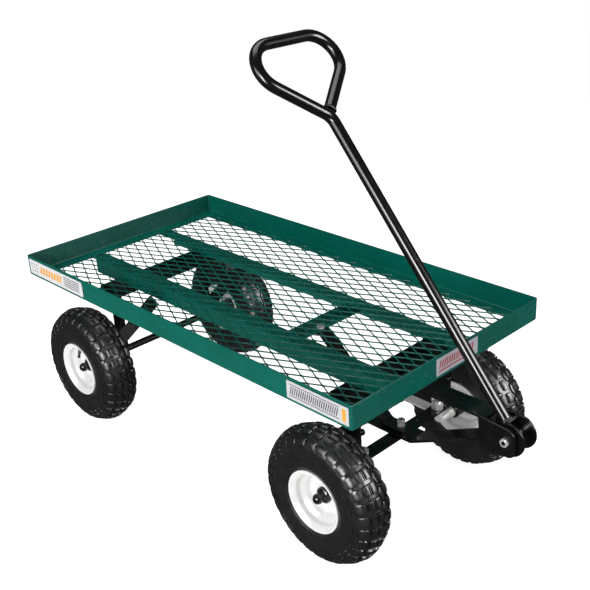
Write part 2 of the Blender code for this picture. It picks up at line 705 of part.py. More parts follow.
def clevis():
    """Two round cheeks on the pivot bolt, joined by a web that carries the tube."""
    reach = TUBE_START - GAP
    start = math.acos(reach / CHEEK_R) + math.radians(6)
    outline = [(WEB_HALF, reach), (-WEB_HALF, reach)]
    steps = 16
    for i in range(steps + 1):
        a = math.pi / 2 + start + (2 * math.pi - 2 * start) * i / steps
        outline.append((CHEEK_R * math.cos(a), CHEEK_R * math.sin(a)))
    turn = Matrix.Rotation(-(math.pi / 2 - LEAN), 4, "Y") @ Matrix.Rotation(math.radians(90), 4, "X")
    fork = as_mesh(flat("clevis", outline, 2 * CHEEK_OUT, BLACK, PIVOT, [ring(PIN_R + GAP, 14)],
                        turn.to_euler(), handle_axis))
    slot = block("clevis_slot", (-0.05, -CHEEK_IN, -0.05), (0.05, CHEEK_IN, reach - WEB_T), BLACK)
    slot.data.transform(Matrix.Translation(slot.location))
    slot.location = PIVOT
    slot.rotation_euler = (0, -(math.pi / 2 - LEAN), 0)
    combine(fork, slot, "DIFFERENCE")


clevis()

# ---------------------------------------------------------------- wheels
# (radius, distance outward from the wheel's middle plane), outboard half
TYRE_HALF = [(BEAD_R + GAP, 0.0230), (0.0640, 0.0345), (0.0900, 0.0385), (0.1160, 0.0335), (0.1270, 0.0175),
             (TYRE_R, 0.0040)]
WELL_R = BEAD_R - 0.0085
RIM_OUTER = [(RIM_R, RIM_HALF), (RIM_R, 0.0325), (BEAD_R, 0.0262), (BEAD_R, 0.0180), (WELL_R, 0.0110)]
DISH = [(WELL_R - RIM_SHEET, 0.0120), (BEAD_R - RIM_SHEET, 0.0190), (BEAD_R - RIM_SHEET, 0.0275),
        (RIM_R - RIM_SHEET, RIM_HALF)]
RIM_DISC = [(0.0380, -0.0015), (HUB_R + 0.0004, 0.0015), (HUB_R + 0.0004, 0.0060), (0.0380, 0.0030)]
HUB = [(HUB_R, 0.0100), (HUB_R, -HUB_REACH), (AXLE_R + GAP, -HUB_REACH), (AXLE_R + GAP, 0.0125), (0.0125, 0.0125)]


def mirrored(half_profile):
    return [(r, -h) for r, h in reversed(half_profile)]


def wheel(word, x, track, side, parent):
    """Tyre, rim, hub, cap and valve on one axle."""
    centre = Vector((x, side * track, AXLE_Z))
    outward = (math.radians(-90 * side), 0, 0)
    axis = pivot("wheel_axis_" + word, centre, parent)
    turned("tyre_" + word, TYRE_HALF + mirrored(TYRE_HALF), RUBBER,
           centre, outward, 32, axis)
    rim = RIM_OUTER + mirrored(RIM_OUTER) + mirrored(DISH) + RIM_DISC + DISH
    turned("rim_" + word, rim, WHITE, centre, outward, 26, axis)
    turned("hub_" + word, HUB, PLASTIC, centre, outward, 18, axis)
    ball = [(0.0, 0.0220 + BALL_R)]
    for step in range(1, 5):
        a = math.radians(90 - 27 * step)
        ball.append((BALL_R * math.cos(a), 0.0220 + BALL_R * math.sin(a)))
    ball += [(0.0100, 0.0156), (0.0, 0.0156)]
    turned("cap_" + word, ball, PLASTIC, centre, outward, 14, axis)
    angle = math.radians(VALVE_ANGLE[word])
    spoke = Vector((math.cos(angle), 0, math.sin(angle)))
    lean = Vector((0, side * 0.519, 0)) - spoke * 0.855
    root = centre + spoke * 0.0400 + Vector((0, side * 0.0158, 0))
    stem = [(0.0, 0.0200), (0.0030, 0.0200), (0.0030, 0.0125), (0.0038, 0.0110), (0.0038, 0.0), (0.0, 0.0)]
    turned("valve_" + word, stem, PLASTIC, root, lean.to_track_quat("Z", "Y").to_euler(), 10, axis)


for word, side in (("left", 1), ("right", -1)):
    wheel("front_" + word, FRONT_X, FRONT_TRACK, side, axes[word])
    wheel("rear_" + word, REAR_X, REAR_TRACK, side, None)

# ---------------------------------------------------------------- plain labels
low = RIM_TOP - 0.038
high = RIM_TOP - 0.005
y = -DECK_W / 2 - GAP
x = DECK_X + DECK_L / 2 + GAP
block("label_side_rear", (DECK_X - 0.472, y - LABEL_T, low), (DECK_X - 0.266, y, high), LABEL)
block("label_side_front", (DECK_X + 0.338, y - LABEL_T, low), (DECK_X + 0.4765, y, high), LABEL)
block("label_front", (x, -0.048, low), (x + LABEL_T, 0.066, high), LABEL)
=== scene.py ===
"""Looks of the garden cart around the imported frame: powder-coated angle, raised expanded mesh, bent and
welded bar stock, plated hardware, and treaded tyres on white rims. Metres, in the model's own frame."""
import bisect
import json
import math
import random

import bpy
import bmesh
from mathutils import Matrix, Vector


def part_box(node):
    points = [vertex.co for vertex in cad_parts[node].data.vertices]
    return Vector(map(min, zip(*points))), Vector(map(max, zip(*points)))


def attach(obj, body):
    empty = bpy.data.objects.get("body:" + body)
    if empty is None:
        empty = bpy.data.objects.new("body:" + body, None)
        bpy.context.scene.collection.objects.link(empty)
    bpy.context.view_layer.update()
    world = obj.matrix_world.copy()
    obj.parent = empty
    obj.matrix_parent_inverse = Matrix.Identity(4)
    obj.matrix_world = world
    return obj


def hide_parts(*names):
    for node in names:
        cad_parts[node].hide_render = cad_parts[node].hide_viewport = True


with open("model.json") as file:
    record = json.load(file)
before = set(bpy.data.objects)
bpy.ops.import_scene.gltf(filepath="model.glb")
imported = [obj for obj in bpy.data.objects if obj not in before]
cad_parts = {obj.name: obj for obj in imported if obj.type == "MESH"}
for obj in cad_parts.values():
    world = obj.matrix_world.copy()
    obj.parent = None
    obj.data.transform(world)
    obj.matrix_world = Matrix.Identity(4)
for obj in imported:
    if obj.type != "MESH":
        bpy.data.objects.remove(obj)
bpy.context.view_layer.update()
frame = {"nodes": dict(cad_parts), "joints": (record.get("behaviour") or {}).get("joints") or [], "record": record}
BODY_OF = {node: body for body, nodes in frame["record"]["behaviour"]["bodies"].items() for node in nodes}
AXIS_AT = {joint["name"]: Vector(joint["pos_m"]) for joint in frame["joints"]}
SIDES = (("left", 1), ("right", -1))
EDGE = 0.0008  # how far the edges of cut steel are broken
WELD_R = 0.0022

# -------- materials


def settle(node, values):
    """Values for a node's sockets."""
    for socket, value in values.items():
        node.inputs[socket].default_value = value


def principled(name, roughness, metallic=0.0, coat=0.0, specular=0.5):
    """Material with a Principled shader whose even properties sit on its own sockets."""
    material = bpy.data.materials.new(name)
    material.use_nodes = True
    shader = material.node_tree.nodes["Principled BSDF"]
    settle(shader, {"Roughness": roughness, "Metallic": metallic, "Coat Weight": coat,
                    "Coat Roughness": 0.08, "Specular IOR Level": specular})
    return material, material.node_tree, shader


def noise(tree, scale, detail=3.0, stretch=(1.0, 1.0, 1.0), distortion=0.0):
    """Noise in the object's own coordinates; scale counts features per metre."""
    coordinates = tree.nodes.new("ShaderNodeTexCoord")
    mapping = tree.nodes.new("ShaderNodeMapping")
    settle(mapping, {"Scale": stretch})
    texture = tree.nodes.new("ShaderNodeTexNoise")
    settle(texture, {"Scale": scale, "Detail": detail, "Distortion": distortion})
    tree.links.new(coordinates.outputs["Object"], mapping.inputs["Vector"])
    tree.links.new(mapping.outputs["Vector"], texture.inputs["Vector"])
    return texture.outputs["Fac"]


def blend_colours(tree, factor, stops):
    """Colour ramp over a factor; stops are (position, colour)."""
    ramp = tree.nodes.new("ShaderNodeValToRGB")
    points = ramp.color_ramp.elements
    while len(points) < len(stops):
        points.new(0.5)
    for point, (position, colour) in zip(points, stops):
        point.position = position
        point.color = (*colour, 1.0)
    tree.links.new(factor, ramp.inputs["Fac"])
    return ramp.outputs["Color"]


def spread(tree, factor, low, high, start=0.3, stop=0.7):
    """A factor from start to stop mapped to values from low to high."""
    node = tree.nodes.new("ShaderNodeMapRange")
    settle(node, {"From Min": start, "From Max": stop, "To Min": low, "To Max": high})
    tree.links.new(factor, node.inputs["Value"])
    return node.outputs["Result"]


def mixed(tree, factor, first, second):
    """Two colour outputs mixed by a factor."""
    node = tree.nodes.new("ShaderNodeMix")
    node.data_type = "RGBA"
    tree.links.new(factor, node.inputs["Factor"])
    tree.links.new(first, node.inputs["A"])
    tree.links.new(second, node.inputs["B"])
    return node.outputs["Result"]


def finish(tree, shader, colour, roughness, heights):
    """Colour, roughness and bumps joined to a shader; heights are (factor, depth in metres)."""
    tree.links.new(colour, shader.inputs["Base Color"])
    tree.links.new(roughness, shader.inputs["Roughness"])
    last = None
    for factor, depth in heights:
        bump = tree.nodes.new("ShaderNodeBump")
        settle(bump, {"Distance": depth})
        tree.links.new(factor, bump.inputs["Height"])
        if last is not None:
            tree.links.new(last, bump.inputs["Normal"])
        last = bump.outputs["Normal"]
    tree.links.new(last, shader.inputs["Normal"])


def powder_coat(name, roughness, coat, dust, *shades):
    """Gloss powder coat: slow shifts between three shades, orange peel, dust and dull handling marks."""
    material, tree, shader = principled(name, roughness, coat=coat, specular=0.3)
    slow = noise(tree, 9.0, 4.0)
    paint = blend_colours(tree, slow, [(0.32, shades[0]), (0.50, shades[1]), (0.68, shades[2])])
    specks = noise(tree, 420.0, 5.0)
    dusted = blend_colours(tree, specks, [(0.0, dust), (1.0, dust)])
    amount = spread(tree, specks, 0.0, 0.02, 0.62, 0.82)
    marks = noise(tree, 38.0, 8.0, (1.0, 1.0, 2.4), 1.2)
    dulled = spread(tree, marks, roughness * 0.9, roughness * 1.35, 0.45, 0.74)
    finish(tree, shader, mixed(tree, amount, paint, dusted), dulled,
           [(noise(tree, 620.0, 2.0), 0.00004), (noise(tree, 45.0, 2.0), 0.00012)])
    return material


def rim_enamel():
    """White enamel on a pressed rim: faint warm and grey patches, road dust in fine grain."""
    material, tree, shader = principled("rim_enamel", 0.22, coat=0.35)
    patches = noise(tree, 26.0, 6.0)
    enamel = blend_colours(tree, patches, [(0.30, (0.72, 0.72, 0.71)), (0.55, (0.80, 0.80, 0.79)),
                                           (0.75, (0.86, 0.86, 0.86))])
    grain = noise(tree, 300.0, 8.0)
    grime = blend_colours(tree, grain, [(0.0, (0.42, 0.41, 0.39)), (1.0, (0.50, 0.49, 0.47))])
    dusty = spread(tree, grain, 0.0, 0.30, 0.62, 0.80)
    finish(tree, shader, mixed(tree, dusty, enamel, grime), spread(tree, patches, 0.18, 0.34),
           [(noise(tree, 500.0, 2.0), 0.00004), (patches, 0.0006)])
    return material


def zinc_plate(name, roughness, cloud):
    """Bright zinc plating with grey clouding, straw-coloured passivation and fine drawn lines."""
    material, tree, shader = principled(name, roughness, metallic=0.55)
    clouds = noise(tree, cloud, 7.0, distortion=0.6)
    plating = blend_colours(tree, clouds, [(0.30, (0.52, 0.52, 0.51)), (0.50, (0.74, 0.74, 0.72)),
                                           (0.72, (0.88, 0.88, 0.85))])
    drawn = noise(tree, 380.0, 3.0, (1.0, 1.0, 0.15))
    finish(tree, shader, plating, spread(tree, clouds, roughness * 1.5, roughness * 0.7),
           [(drawn, 0.00006), (noise(tree, 160.0, 4.0), 0.00016)])
    return material


def tyre_rubber():
    """Moulded black rubber: bloom in slow patches, fine mould grain."""
    material, tree, shader = principled("tyre_rubber", 0.34, specular=0.7)
    bloom = noise(tree, 30.0, 6.0)
    tone = blend_colours(tree, bloom, [(0.30, (0.0060, 0.0060, 0.0063)), (0.55, (0.0085, 0.0085, 0.0088)),
                                       (0.78, (0.0140, 0.0140, 0.0143))])
    finish(tree, shader, tone, spread(tree, noise(tree, 90.0, 5.0), 0.26, 0.42),
           [(noise(tree, 1500.0, 3.0), 0.00007), (noise(tree, 120.0, 3.0), 0.00025)])
    return material


def moulded(name, tone, roughness):
    """Black moulded plastic or rubber with a faint mould texture."""
    material, tree, shader = principled(name, roughness)
    shade = noise(tree, 70.0, 4.0)
    lighter = tuple(channel * 1.9 for channel in tone)
    finish(tree, shader, blend_colours(tree, shade, [(0.35, tone), (0.70, lighter)]),
           spread(tree, shade, roughness * 0.75, roughness * 1.5), [(noise(tree, 900.0, 2.0), 0.00004)])
    return material


def print_ink(name, tone):
    """Printed vinyl in one colour, with slight ink mottle and scuffs."""
    roughness = 0.38
    material, tree, shader = principled(name, roughness, coat=0.2)
    mottle = noise(tree, 240.0, 6.0)
    darker = tuple(channel * 0.82 for channel in tone)
    finish(tree, shader, blend_colours(tree, mottle, [(0.35, darker), (0.65, tone)]),
           spread(tree, mottle, roughness * 0.8, roughness * 1.4), [(noise(tree, 700.0, 2.0), 0.00003)])
    return material


GREEN = powder_coat("green_powder_coat", 0.24, 0.12, (0.10, 0.22, 0.18),
                    (0.000, 0.098, 0.072), (0.000, 0.109, 0.081), (0.000, 0.120, 0.091))
MESH_GREEN = powder_coat("green_mesh_coat", 0.30, 0.3, (0.14, 0.24, 0.20),
                         (0.000, 0.078, 0.056), (0.000, 0.094, 0.070), (0.002, 0.112, 0.084))
BLACK = powder_coat("black_powder_coat", 0.22, 0.35, (0.12, 0.12, 0.12),
                    (0.0035, 0.0035, 0.0037), (0.0045, 0.0045, 0.0047), (0.0060, 0.0060, 0.0062))
WHITE = rim_enamel()
ZINC = zinc_plate("zinc_plating", 0.28, 90.0)
CAST_ZINC = zinc_plate("zinc_on_forging", 0.42, 45.0)
RUBBER = tyre_rubber()
PLASTIC = moulded("black_plastic", (0.0040, 0.0040, 0.0042), 0.16)
VALVE_RUBBER = moulded("valve_rubber", (0.0080, 0.0080, 0.0080), 0.45)
INK_WHITE = print_ink("ink_white", (0.72, 0.72, 0.74))
INK_SILVER = print_ink("ink_silver", (0.60, 0.60, 0.62))
INK_LILAC = print_ink("ink_lilac", (0.56, 0.55, 0.63))
INK_AMBER = print_ink("ink_amber", (0.90, 0.40, 0.01))
INK_RED = print_ink("ink_red", (0.55, 0.035, 0.025))
INK_DARK = print_ink("ink_dark", (0.030, 0.020, 0.022))

# -------- mesh helpers


def rounded(corners, steps=4):
    """Closed outline from corners (u, v, radius), each turned into an arc."""
    points = [Vector((c[0], c[1])) for c in corners]
    outline = []
    for i, corner in enumerate(points):
        radius = corners[i][2]
        if radius == 0:
            outline.append((corner.x, corner.y))
            continue
        back = (points[i - 1] - corner).normalized()
        ahead = (points[(i + 1) % len(points)] - corner).normalized()
        half = back.angle(ahead) / 2
        middle = corner + (back + ahead).normalized() * (radius / math.sin(half))
        first = corner + back * (radius / math.tan(half)) - middle
        last = corner + ahead * (radius / math.tan(half)) - middle
        sweep = first.angle(last)
        for k in range(steps + 1):
            t = k / steps
            p = middle + (first * math.sin((1 - t) * sweep) + last * math.sin(t * sweep)) / math.sin(sweep)
            outline.append((p.x, p.y))
    return outline


def around(count):
    """Even angles over a full turn."""
    return [2 * math.pi * k / count for k in range(count)]


def loft(bm, rings, closed=False, capped=True):
    """Skin over rings with the same count of points."""
    loops = [[bm.verts.new(p) for p in ring] for ring in rings]
    pairs = list(zip(loops, loops[1:]))
    if closed:
        pairs.append((loops[-1], loops[0]))
    for a, b in pairs:
        for i in range(len(a)):
            j = (i + 1) % len(a)
            bm.faces.new((a[i], a[j], b[j], b[i]))
    if capped and not closed:
        bm.faces.new(list(reversed(loops[0])))
        bm.faces.new(loops[-1])
    return loops


def extrude(bm, outline, low, high, place):
    """Outline in the place's XY plane, carried from low to high along its Z."""
    loft(bm, [[place @ Vector((u, v, w)) for u, v in outline] for w in (low, high)])


def lathe(bm, profile, segments, closed=True, place=Matrix.Identity(4)):
    """Profile of (radius, height) turned about the place's Z; a closed profile makes a ring."""
    rings = [[place @ Vector((r * math.cos(a), r * math.sin(a), h)) for r, h in profile]
             for a in around(segments)]
    if closed:
        loft(bm, rings, closed=True)
        return
    loops = [[bm.verts.new(p) for p in ring] for ring in rings]
    for i, loop in enumerate(loops):
        following = loops[(i + 1) % segments]
        for a, b, c, d in zip(loop, loop[1:], following[1:], following):
            bm.faces.new((a, b, c, d))
    bm.faces.new([loop[0] for loop in loops])
    bm.faces.new([loop[-1] for loop in reversed(loops)])


def tube(bm, path, radius, sides=20):
    """Round bar along a path; the radius may be a function of the share of its length."""
    rings = []
    side = None
    count = len(path) - 1
    for i, point in enumerate(path):
        along = (path[min(i + 1, count)] - path[max(i - 1, 0)]).normalized()
        if side is None:
            side = along.orthogonal().normalized()
        side = (side - along * side.dot(along)).normalized()
        other = along.cross(side)
        size = radius(i / count) if callable(radius) else radius
        rings.append([point + (side * math.cos(a) + other * math.sin(a)) * size for a in around(sides)])
    loft(bm, rings)


def finished(name, bm, material, angle):
    """Mesh from a bmesh, smooth where its faces meet at less than the angle in degrees."""
    bmesh.ops.recalc_face_normals(bm, faces=bm.faces)
    mesh = bpy.data.meshes.new(name)
    bm.to_mesh(mesh)
    bm.free()
    mesh.materials.append(material)
    mesh.shade_smooth()
    mesh.set_sharp_from_angle(angle=math.radians(angle))
    return mesh


def build(name, bm, material, angle=35):
    """Object from a bmesh whose neighbouring points are joined."""
    bmesh.ops.remove_doubles(bm, verts=bm.verts, dist=0.000004)
    return put(name, finished(name, bm, material, angle))


def put(name, data, place=(0, 0, 0), turn=(0, 0, 0)):
    """Object of a mesh, light or camera, at a place and turned."""
    obj = bpy.data.objects.new(name, data)
    obj.location = place
    obj.rotation_euler = turn
    bpy.context.scene.collection.objects.link(obj)
    return obj


def eased(obj, width, segments=2):
    """Edges broken by a small radius, flat faces kept flat."""
    bevel = obj.modifiers.new("eased_edges", "BEVEL")
    bevel.width = width
    bevel.segments = segments
    bevel.limit_method = "ANGLE"
    bevel.angle_limit = math.radians(40)
    obj.modifiers.new("flat_faces", "WEIGHTED_NORMAL")


def rides(obj, body):
    """The object moves with a body."""
    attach(obj, body)


def shows(obj, node):
    """The object stands for one CAD node."""
    rides(obj, BODY_OF[node])
    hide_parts(node)


def piece(node, bm, material, angle=35, ease=0, segments=2):
    """A bmesh that stands for one CAD node, with its edges broken by ease if that is given."""
    obj = build("fine_" + node, bm, material, angle)
    if ease:
        eased(obj, ease, segments)
    shows(obj, node)


def sides_of(node, side):
    """Y of a node's outboard and inboard faces."""
    low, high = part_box(node)
    return (high.y, low.y) if side > 0 else (low.y, high.y)


def carried(node, material):
    """A CAD node shown as it is, with eased edges and its own finish."""
    obj = frame["nodes"][node]
    obj.data.materials.clear()
    obj.data.materials.append(material)
    obj.data.shade_smooth()
    weld = obj.modifiers.new("joined", "WELD")
    weld.merge_threshold = 0.00002
    eased(obj, EDGE)


# -------- deck
CORNER_R = 0.0040  # outer radius of the deck frame's upright corners
STEEL = 0.0030
FLANGE = 0.0310
MESH_PITCH_X = 0.0505  # one diamond of the expanded mesh
MESH_PITCH_Y = 0.0235
STRAND_W = 0.0025
STRAND_H = 0.0018
BOND = 0.0060  # length over which two strands stay joined
BOND_LAP = 0.46  # share of a strand's width from its middle to the joint
WOBBLE = 0.00012
STRAND_TILT = math.radians(28)
MESH_OVERLAP = 0.0080  # how far the mesh reaches over the rail flanges

deck_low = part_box("deck_rail_rear")[0]
deck_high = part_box("deck_rail_front")[1]
deck_mid = (deck_low + deck_high) / 2
half_long = (deck_high.x - deck_low.x) / 2
half_wide = (deck_high.y - deck_low.y) / 2
flange_top = deck_low.z + STEEL


def deck_rail(word, half_length, half_span, turn):
    """One side of the deck frame, from the middle of one corner to the middle of the next."""
    wall = deck_high.z - deck_low.z
    profile = rounded([(0, 0, 0.0026), (FLANGE, 0, 0.0010), (FLANGE, STEEL, 0.0010), (STEEL, STEEL, 0.0022),
                       (STEEL, wall, 0.0011), (0, wall, 0.0011)])
    bm = bmesh.new()
    rings = []
    for end, quarters in [(-1, 4 - k) for k in range(5)] + [(1, k) for k in range(5)]:
        lean = math.radians(45) * quarters / 4
        ring = []
        for inset, height in profile:
            radius = max(CORNER_R - inset, 0.0)
            reach = max(inset, CORNER_R)
            along = end * (half_length - reach + radius * math.sin(lean))
            across = -(half_span - reach + radius * math.cos(lean))
            ring.append(Vector((across, along, deck_low.z + height)))
        rings.append(ring)
    loft(bm, rings)
    place = Matrix.Translation((deck_mid.x, 0, 0)) @ Matrix.Rotation(turn, 4, "Z")
    bmesh.ops.transform(bm, matrix=place, verts=bm.verts)
    shows(build("fine_rail_" + word, bm, GREEN), "deck_rail_" + word)


deck_rail("rear", half_wide, half_long, 0)
deck_rail("front", half_wide, half_long, math.pi)
deck_rail("right", half_long, half_wide, math.pi / 2)
deck_rail("left", half_long, half_wide, -math.pi / 2)


def strand_section():
    """Chamfered rectangle of a strand, tilted about X, square to X."""
    c = 0.0004
    w = STRAND_W / 2
    h = STRAND_H / 2
    half = [(-w, -h + c), (-w + c, -h), (w - c, -h), (w, -h + c)]
    section = half + [(-u, -v) for u, v in half]
    ct = math.cos(STRAND_TILT)
    st = math.sin(STRAND_TILT)
    return [Vector((0, u * ct - v * st, u * st + v * ct)) for u, v in section]


def expanded_mesh():
    """Raised expanded metal: zigzag strands that join their neighbours at short bonds."""
    reach_x = half_long - FLANGE + MESH_OVERLAP
    reach_y = half_wide - FLANGE + MESH_OVERLAP
    rng = random.Random(11)
    bm = bmesh.new()
    rows = int(reach_y / (MESH_PITCH_Y / 2)) + 1
    columns = int(reach_x / (MESH_PITCH_X / 2)) + 2
    depth = (STRAND_W * math.sin(STRAND_TILT) + STRAND_H * math.cos(STRAND_TILT)) / 2
    level = flange_top + depth + 0.0001
    for row in range(-rows, rows):
        rings = []
        for column in range(-columns, columns + 1):
            upper = (row + column) % 2
            node_y = (row + upper) * MESH_PITCH_Y / 2
            lean = -1 if upper else 1
            y = node_y + lean * STRAND_W * math.cos(STRAND_TILT) * BOND_LAP
            for end in (-1, 1):
                x = column * MESH_PITCH_X / 2 + end * BOND / 2
                wobble = rng.uniform(-WOBBLE, WOBBLE)
                centre = Vector((deck_mid.x + x, y + wobble, level))
                rings.append([centre + p for p in strand_section()])
        loft(bm, rings)
    for normal, reach in (((1, 0, 0), reach_x), ((0, 1, 0), reach_y)):
        for end in (1, -1):
            plane = Vector(normal) * end
            bmesh.ops.bisect_plane(bm, geom=bm.verts[:] + bm.edges[:] + bm.faces[:], plane_no=plane,
                                   plane_co=Vector((deck_mid.x, 0, 0)) + plane * reach, clear_outer=True)
    bmesh.ops.holes_fill(bm, edges=[e for e in bm.edges if len(e.link_faces) == 1], sides=12)
    piece("deck_mesh", bm, MESH_GREEN, 50)
    return reach_x, reach_y, rows, level


mesh_reach_x, mesh_reach_y, mesh_rows, mesh_level = expanded_mesh()

# -------- members under the deck
COPE = 0.0340  # the long members' upright legs stop this far short of the ends
END_R = 0.0009  # edges of the rolled angles, and their bends outside and inside
OUTER_R = 0.0016
INNER_R = 0.0024
CHANNEL_T = 0.0040  # bolsters, with their bends outside and inside and their edges
CHANNEL_R = 0.0034
BEND_R = 0.0020
TIP_R = 0.0010
ALONG_X = Matrix(((0, 0, 1, 0), (1, 0, 0, 0), (0, 1, 0, 0), (0, 0, 0, 1)))
ALONG_Y = Matrix(((1, 0, 0, 0), (0, 0, 1, 0), (0, 1, 0, 0), (0, 0, 0, 1)))


def cross_bar(node, outline, material):
    """Rolled bar: a rounded section carried along Y for the whole width of its CAD node's box."""
    low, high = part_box(node)
    bm = bmesh.new()
    extrude(bm, outline, low.y, high.y, ALONG_Y)
    piece(node, bm, material, ease=EDGE / 2, segments=1)


def long_member(word, side):
    """Angle along the deck; near its ends only the flange is left."""
    node = "long_member_" + word
    low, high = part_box(node)
    outer, inner = sides_of(node, side)
    web = outer - side * STEEL
    under = high.z - STEEL
    outline = rounded([(outer, high.z, OUTER_R), (outer, low.z, END_R), (web, low.z, END_R),
                       (web, under, INNER_R), (inner, under, END_R), (inner, high.z, END_R)])
    flange = rounded([(outer, high.z, OUTER_R), (outer, under, END_R), (inner, under, END_R),
                      (inner, high.z, END_R)])
    bm = bmesh.new()
    extrude(bm, outline, low.x + COPE, high.x - COPE, ALONG_X)
    extrude(bm, flange, low.x, low.x + COPE, ALONG_X)
    extrude(bm, flange, high.x - COPE, high.x, ALONG_X)
    piece(node, bm, GREEN)


def under_frame():
    """Angles under the deck and the two channel bolsters."""
    for word, side in SIDES:
        long_member(word, side)
    low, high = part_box("cross_member")
    outline = rounded([(low.x, low.z, OUTER_R), (high.x, low.z, END_R), (high.x, low.z + STEEL, END_R),
                       (low.x + STEEL, low.z + STEEL, INNER_R), (low.x + STEEL, high.z, END_R),
                       (low.x, high.z, END_R)])
    cross_bar("cross_member", outline, GREEN)
    for node in ("rear_bolster", "front_bolster"):
        low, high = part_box(node)
        left = low.x + CHANNEL_T
        right = high.x - CHANNEL_T
        floor = low.z + CHANNEL_T
        outline = rounded([(low.x, low.z, CHANNEL_R), (high.x, low.z, CHANNEL_R), (high.x, high.z, TIP_R),
                           (right, high.z, TIP_R), (right, floor, BEND_R), (left, floor, BEND_R),
                           (left, high.z, TIP_R), (low.x, high.z, TIP_R)])
        cross_bar(node, outline, BLACK)


under_frame()

# -------- running gear carried over from the frame
for node in ("front_strap", "front_leg_left", "front_leg_right", "rear_leg_left", "rear_leg_right",
             "rear_axle", "rear_brace_left", "rear_brace_right", "front_brace", "tongue_lower_bar",
             "tongue_upper_bar", "tie_bar"):
    carried(node, BLACK)
for node in ("knuckle_left", "knuckle_right"):
    carried(node, CAST_ZINC)

# -------- bolts
THREAD = 0.00125
THREAD_DEPTH = 0.0005
WASHER_T = 0.0011
WASHER_REACH = 1.16  # its radius over the head's corner radius
LEG_BOLT_UP = 0.0640  # leg bolt above the leg's foot
LEG_BOLT_OUT = 0.0020  # and outboard of the leg's inboard face
BOLT_AXIS = {"pivot_bolt": 1}  # the others stand upright


def levels_of(node, axis):
    """Largest radius, and the angle at which it lies, at each level of a CAD bolt along its axis."""
    low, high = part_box(node)
    centre = (low + high) / 2
    across = [i for i in range(3) if i != axis]
    levels = {}
    for vertex in frame["nodes"][node].data.vertices:
        p = vertex.co - centre
        u, v = (p[i] for i in across)
        key = round(vertex.co[axis], 5)
        if math.hypot(u, v) > levels.get(key, (0, 0))[0]:
            levels[key] = (math.hypot(u, v), math.atan2(v, u))
    return centre, levels


def hexagon_rings(low, high, corner, angle, place):
    """Rings of a hexagonal head turned down to a chamfer at both ends."""
    flat = corner * math.cos(math.pi / 6)
    ease = (corner - flat) * 0.62
    steps = ((0.0, flat * 0.97), (ease * 0.5, flat * 1.07), (ease, corner))
    rings = []
    for height, limit in [(low + h, r) for h, r in steps] + [(high - h, r) for h, r in reversed(steps)]:
        ring = []
        for a in around(48):
            local = (a + math.pi / 6) % (math.pi / 3) - math.pi / 6
            radius = min(flat / math.cos(math.pi / 6 - abs(local)), limit)
            ring.append(place @ Vector((radius * math.cos(a + angle), radius * math.sin(a + angle), height)))
        rings.append(ring)
    return rings


def threaded(bm, low, high, radius, place):
    """Shank with thread crests, chamfered at both ends."""
    profile = [(radius - 2 * THREAD_DEPTH, low), (radius - THREAD_DEPTH, low + THREAD_DEPTH)]
    turns = int((high - low) / THREAD)
    for i in range(turns):
        base = low + THREAD_DEPTH + (high - low - 2 * THREAD_DEPTH) * i / turns
        profile += [(radius - THREAD_DEPTH, base + THREAD * 0.15), (radius, base + THREAD * 0.55)]
    profile += [(radius - THREAD_DEPTH, high - THREAD_DEPTH), (radius - 2 * THREAD_DEPTH, high)]
    loft(bm, [[place @ Vector((r * math.cos(a), r * math.sin(a), h)) for a in around(28)]
              for r, h in profile])


def hardware(node, washer=True, material=ZINC):
    """Bolt rebuilt from its CAD node: thread, chamfered hexagons and washers."""
    axis = BOLT_AXIS.get(node, 2)
    centre, levels = levels_of(node, axis)
    heights = sorted(levels)
    shank = min(radius for radius, angle in levels.values())
    wide = [h for h in heights if levels[h][0] > shank * 1.15]
    if axis == 2:
        place = Matrix.Translation((centre.x, centre.y, 0))
    else:
        place = Matrix.Translation((centre.x, 0, centre.z)) @ ALONG_Y
    bm = bmesh.new()
    threaded(bm, heights[0], heights[-1], shank, place)
    middle = (heights[0] + heights[-1]) / 2
    for low, high in zip(wide[::2], wide[1::2]):
        corner, angle = levels[low]
        loft(bm, hexagon_rings(low, high, corner, angle, place))
        if washer:
            lower, upper = (high - WASHER_T, high) if (low + high) / 2 < middle else (low, low + WASHER_T)
            hole = shank * 1.02
            rim = corner * WASHER_REACH
            profile = rounded([(hole, lower, 0), (rim, lower, 0.0004), (rim, upper, 0.0004),
                               (hole, upper, 0)], 2)
            lathe(bm, profile, 40, place=place)
    piece(node, bm, material, 25)


def leg_bolts():
    """Round black heads in the front faces of the two front legs."""
    bm = bmesh.new()
    head = rounded([(0.0006, 0.0, 0), (0.0062, 0.0, 0.0004), (0.0062, 0.0034, 0.0014),
                    (0.0042, 0.0066, 0.0016), (0.0006, 0.0070, 0)])
    for word, side in SIDES:
        node = "front_leg_" + word
        low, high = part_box(node)
        inner = sides_of(node, side)[1]
        spot = Vector((high.x - 0.0004, inner + side * LEG_BOLT_OUT, low.z + LEG_BOLT_UP))
        lathe(bm, head, 32, place=Matrix.Translation(spot) @ ALONG_X)
    rides(build("leg_bolts", bm, BLACK, 30), "frame")


leg_bolts()
for node in ("brace_bolt", "tie_bolt_centre", "tie_bolt_left", "tie_bolt_right"):
    hardware(node)
for node in ("kingpin_left", "kingpin_right", "king_bolt_lower", "pivot_bolt"):
    hardware(node, washer=False)
# The upper king bolt takes the black coat rather than zinc, so it stays dark where it shows through the mesh.
hardware("king_bolt_upper", False, BLACK)

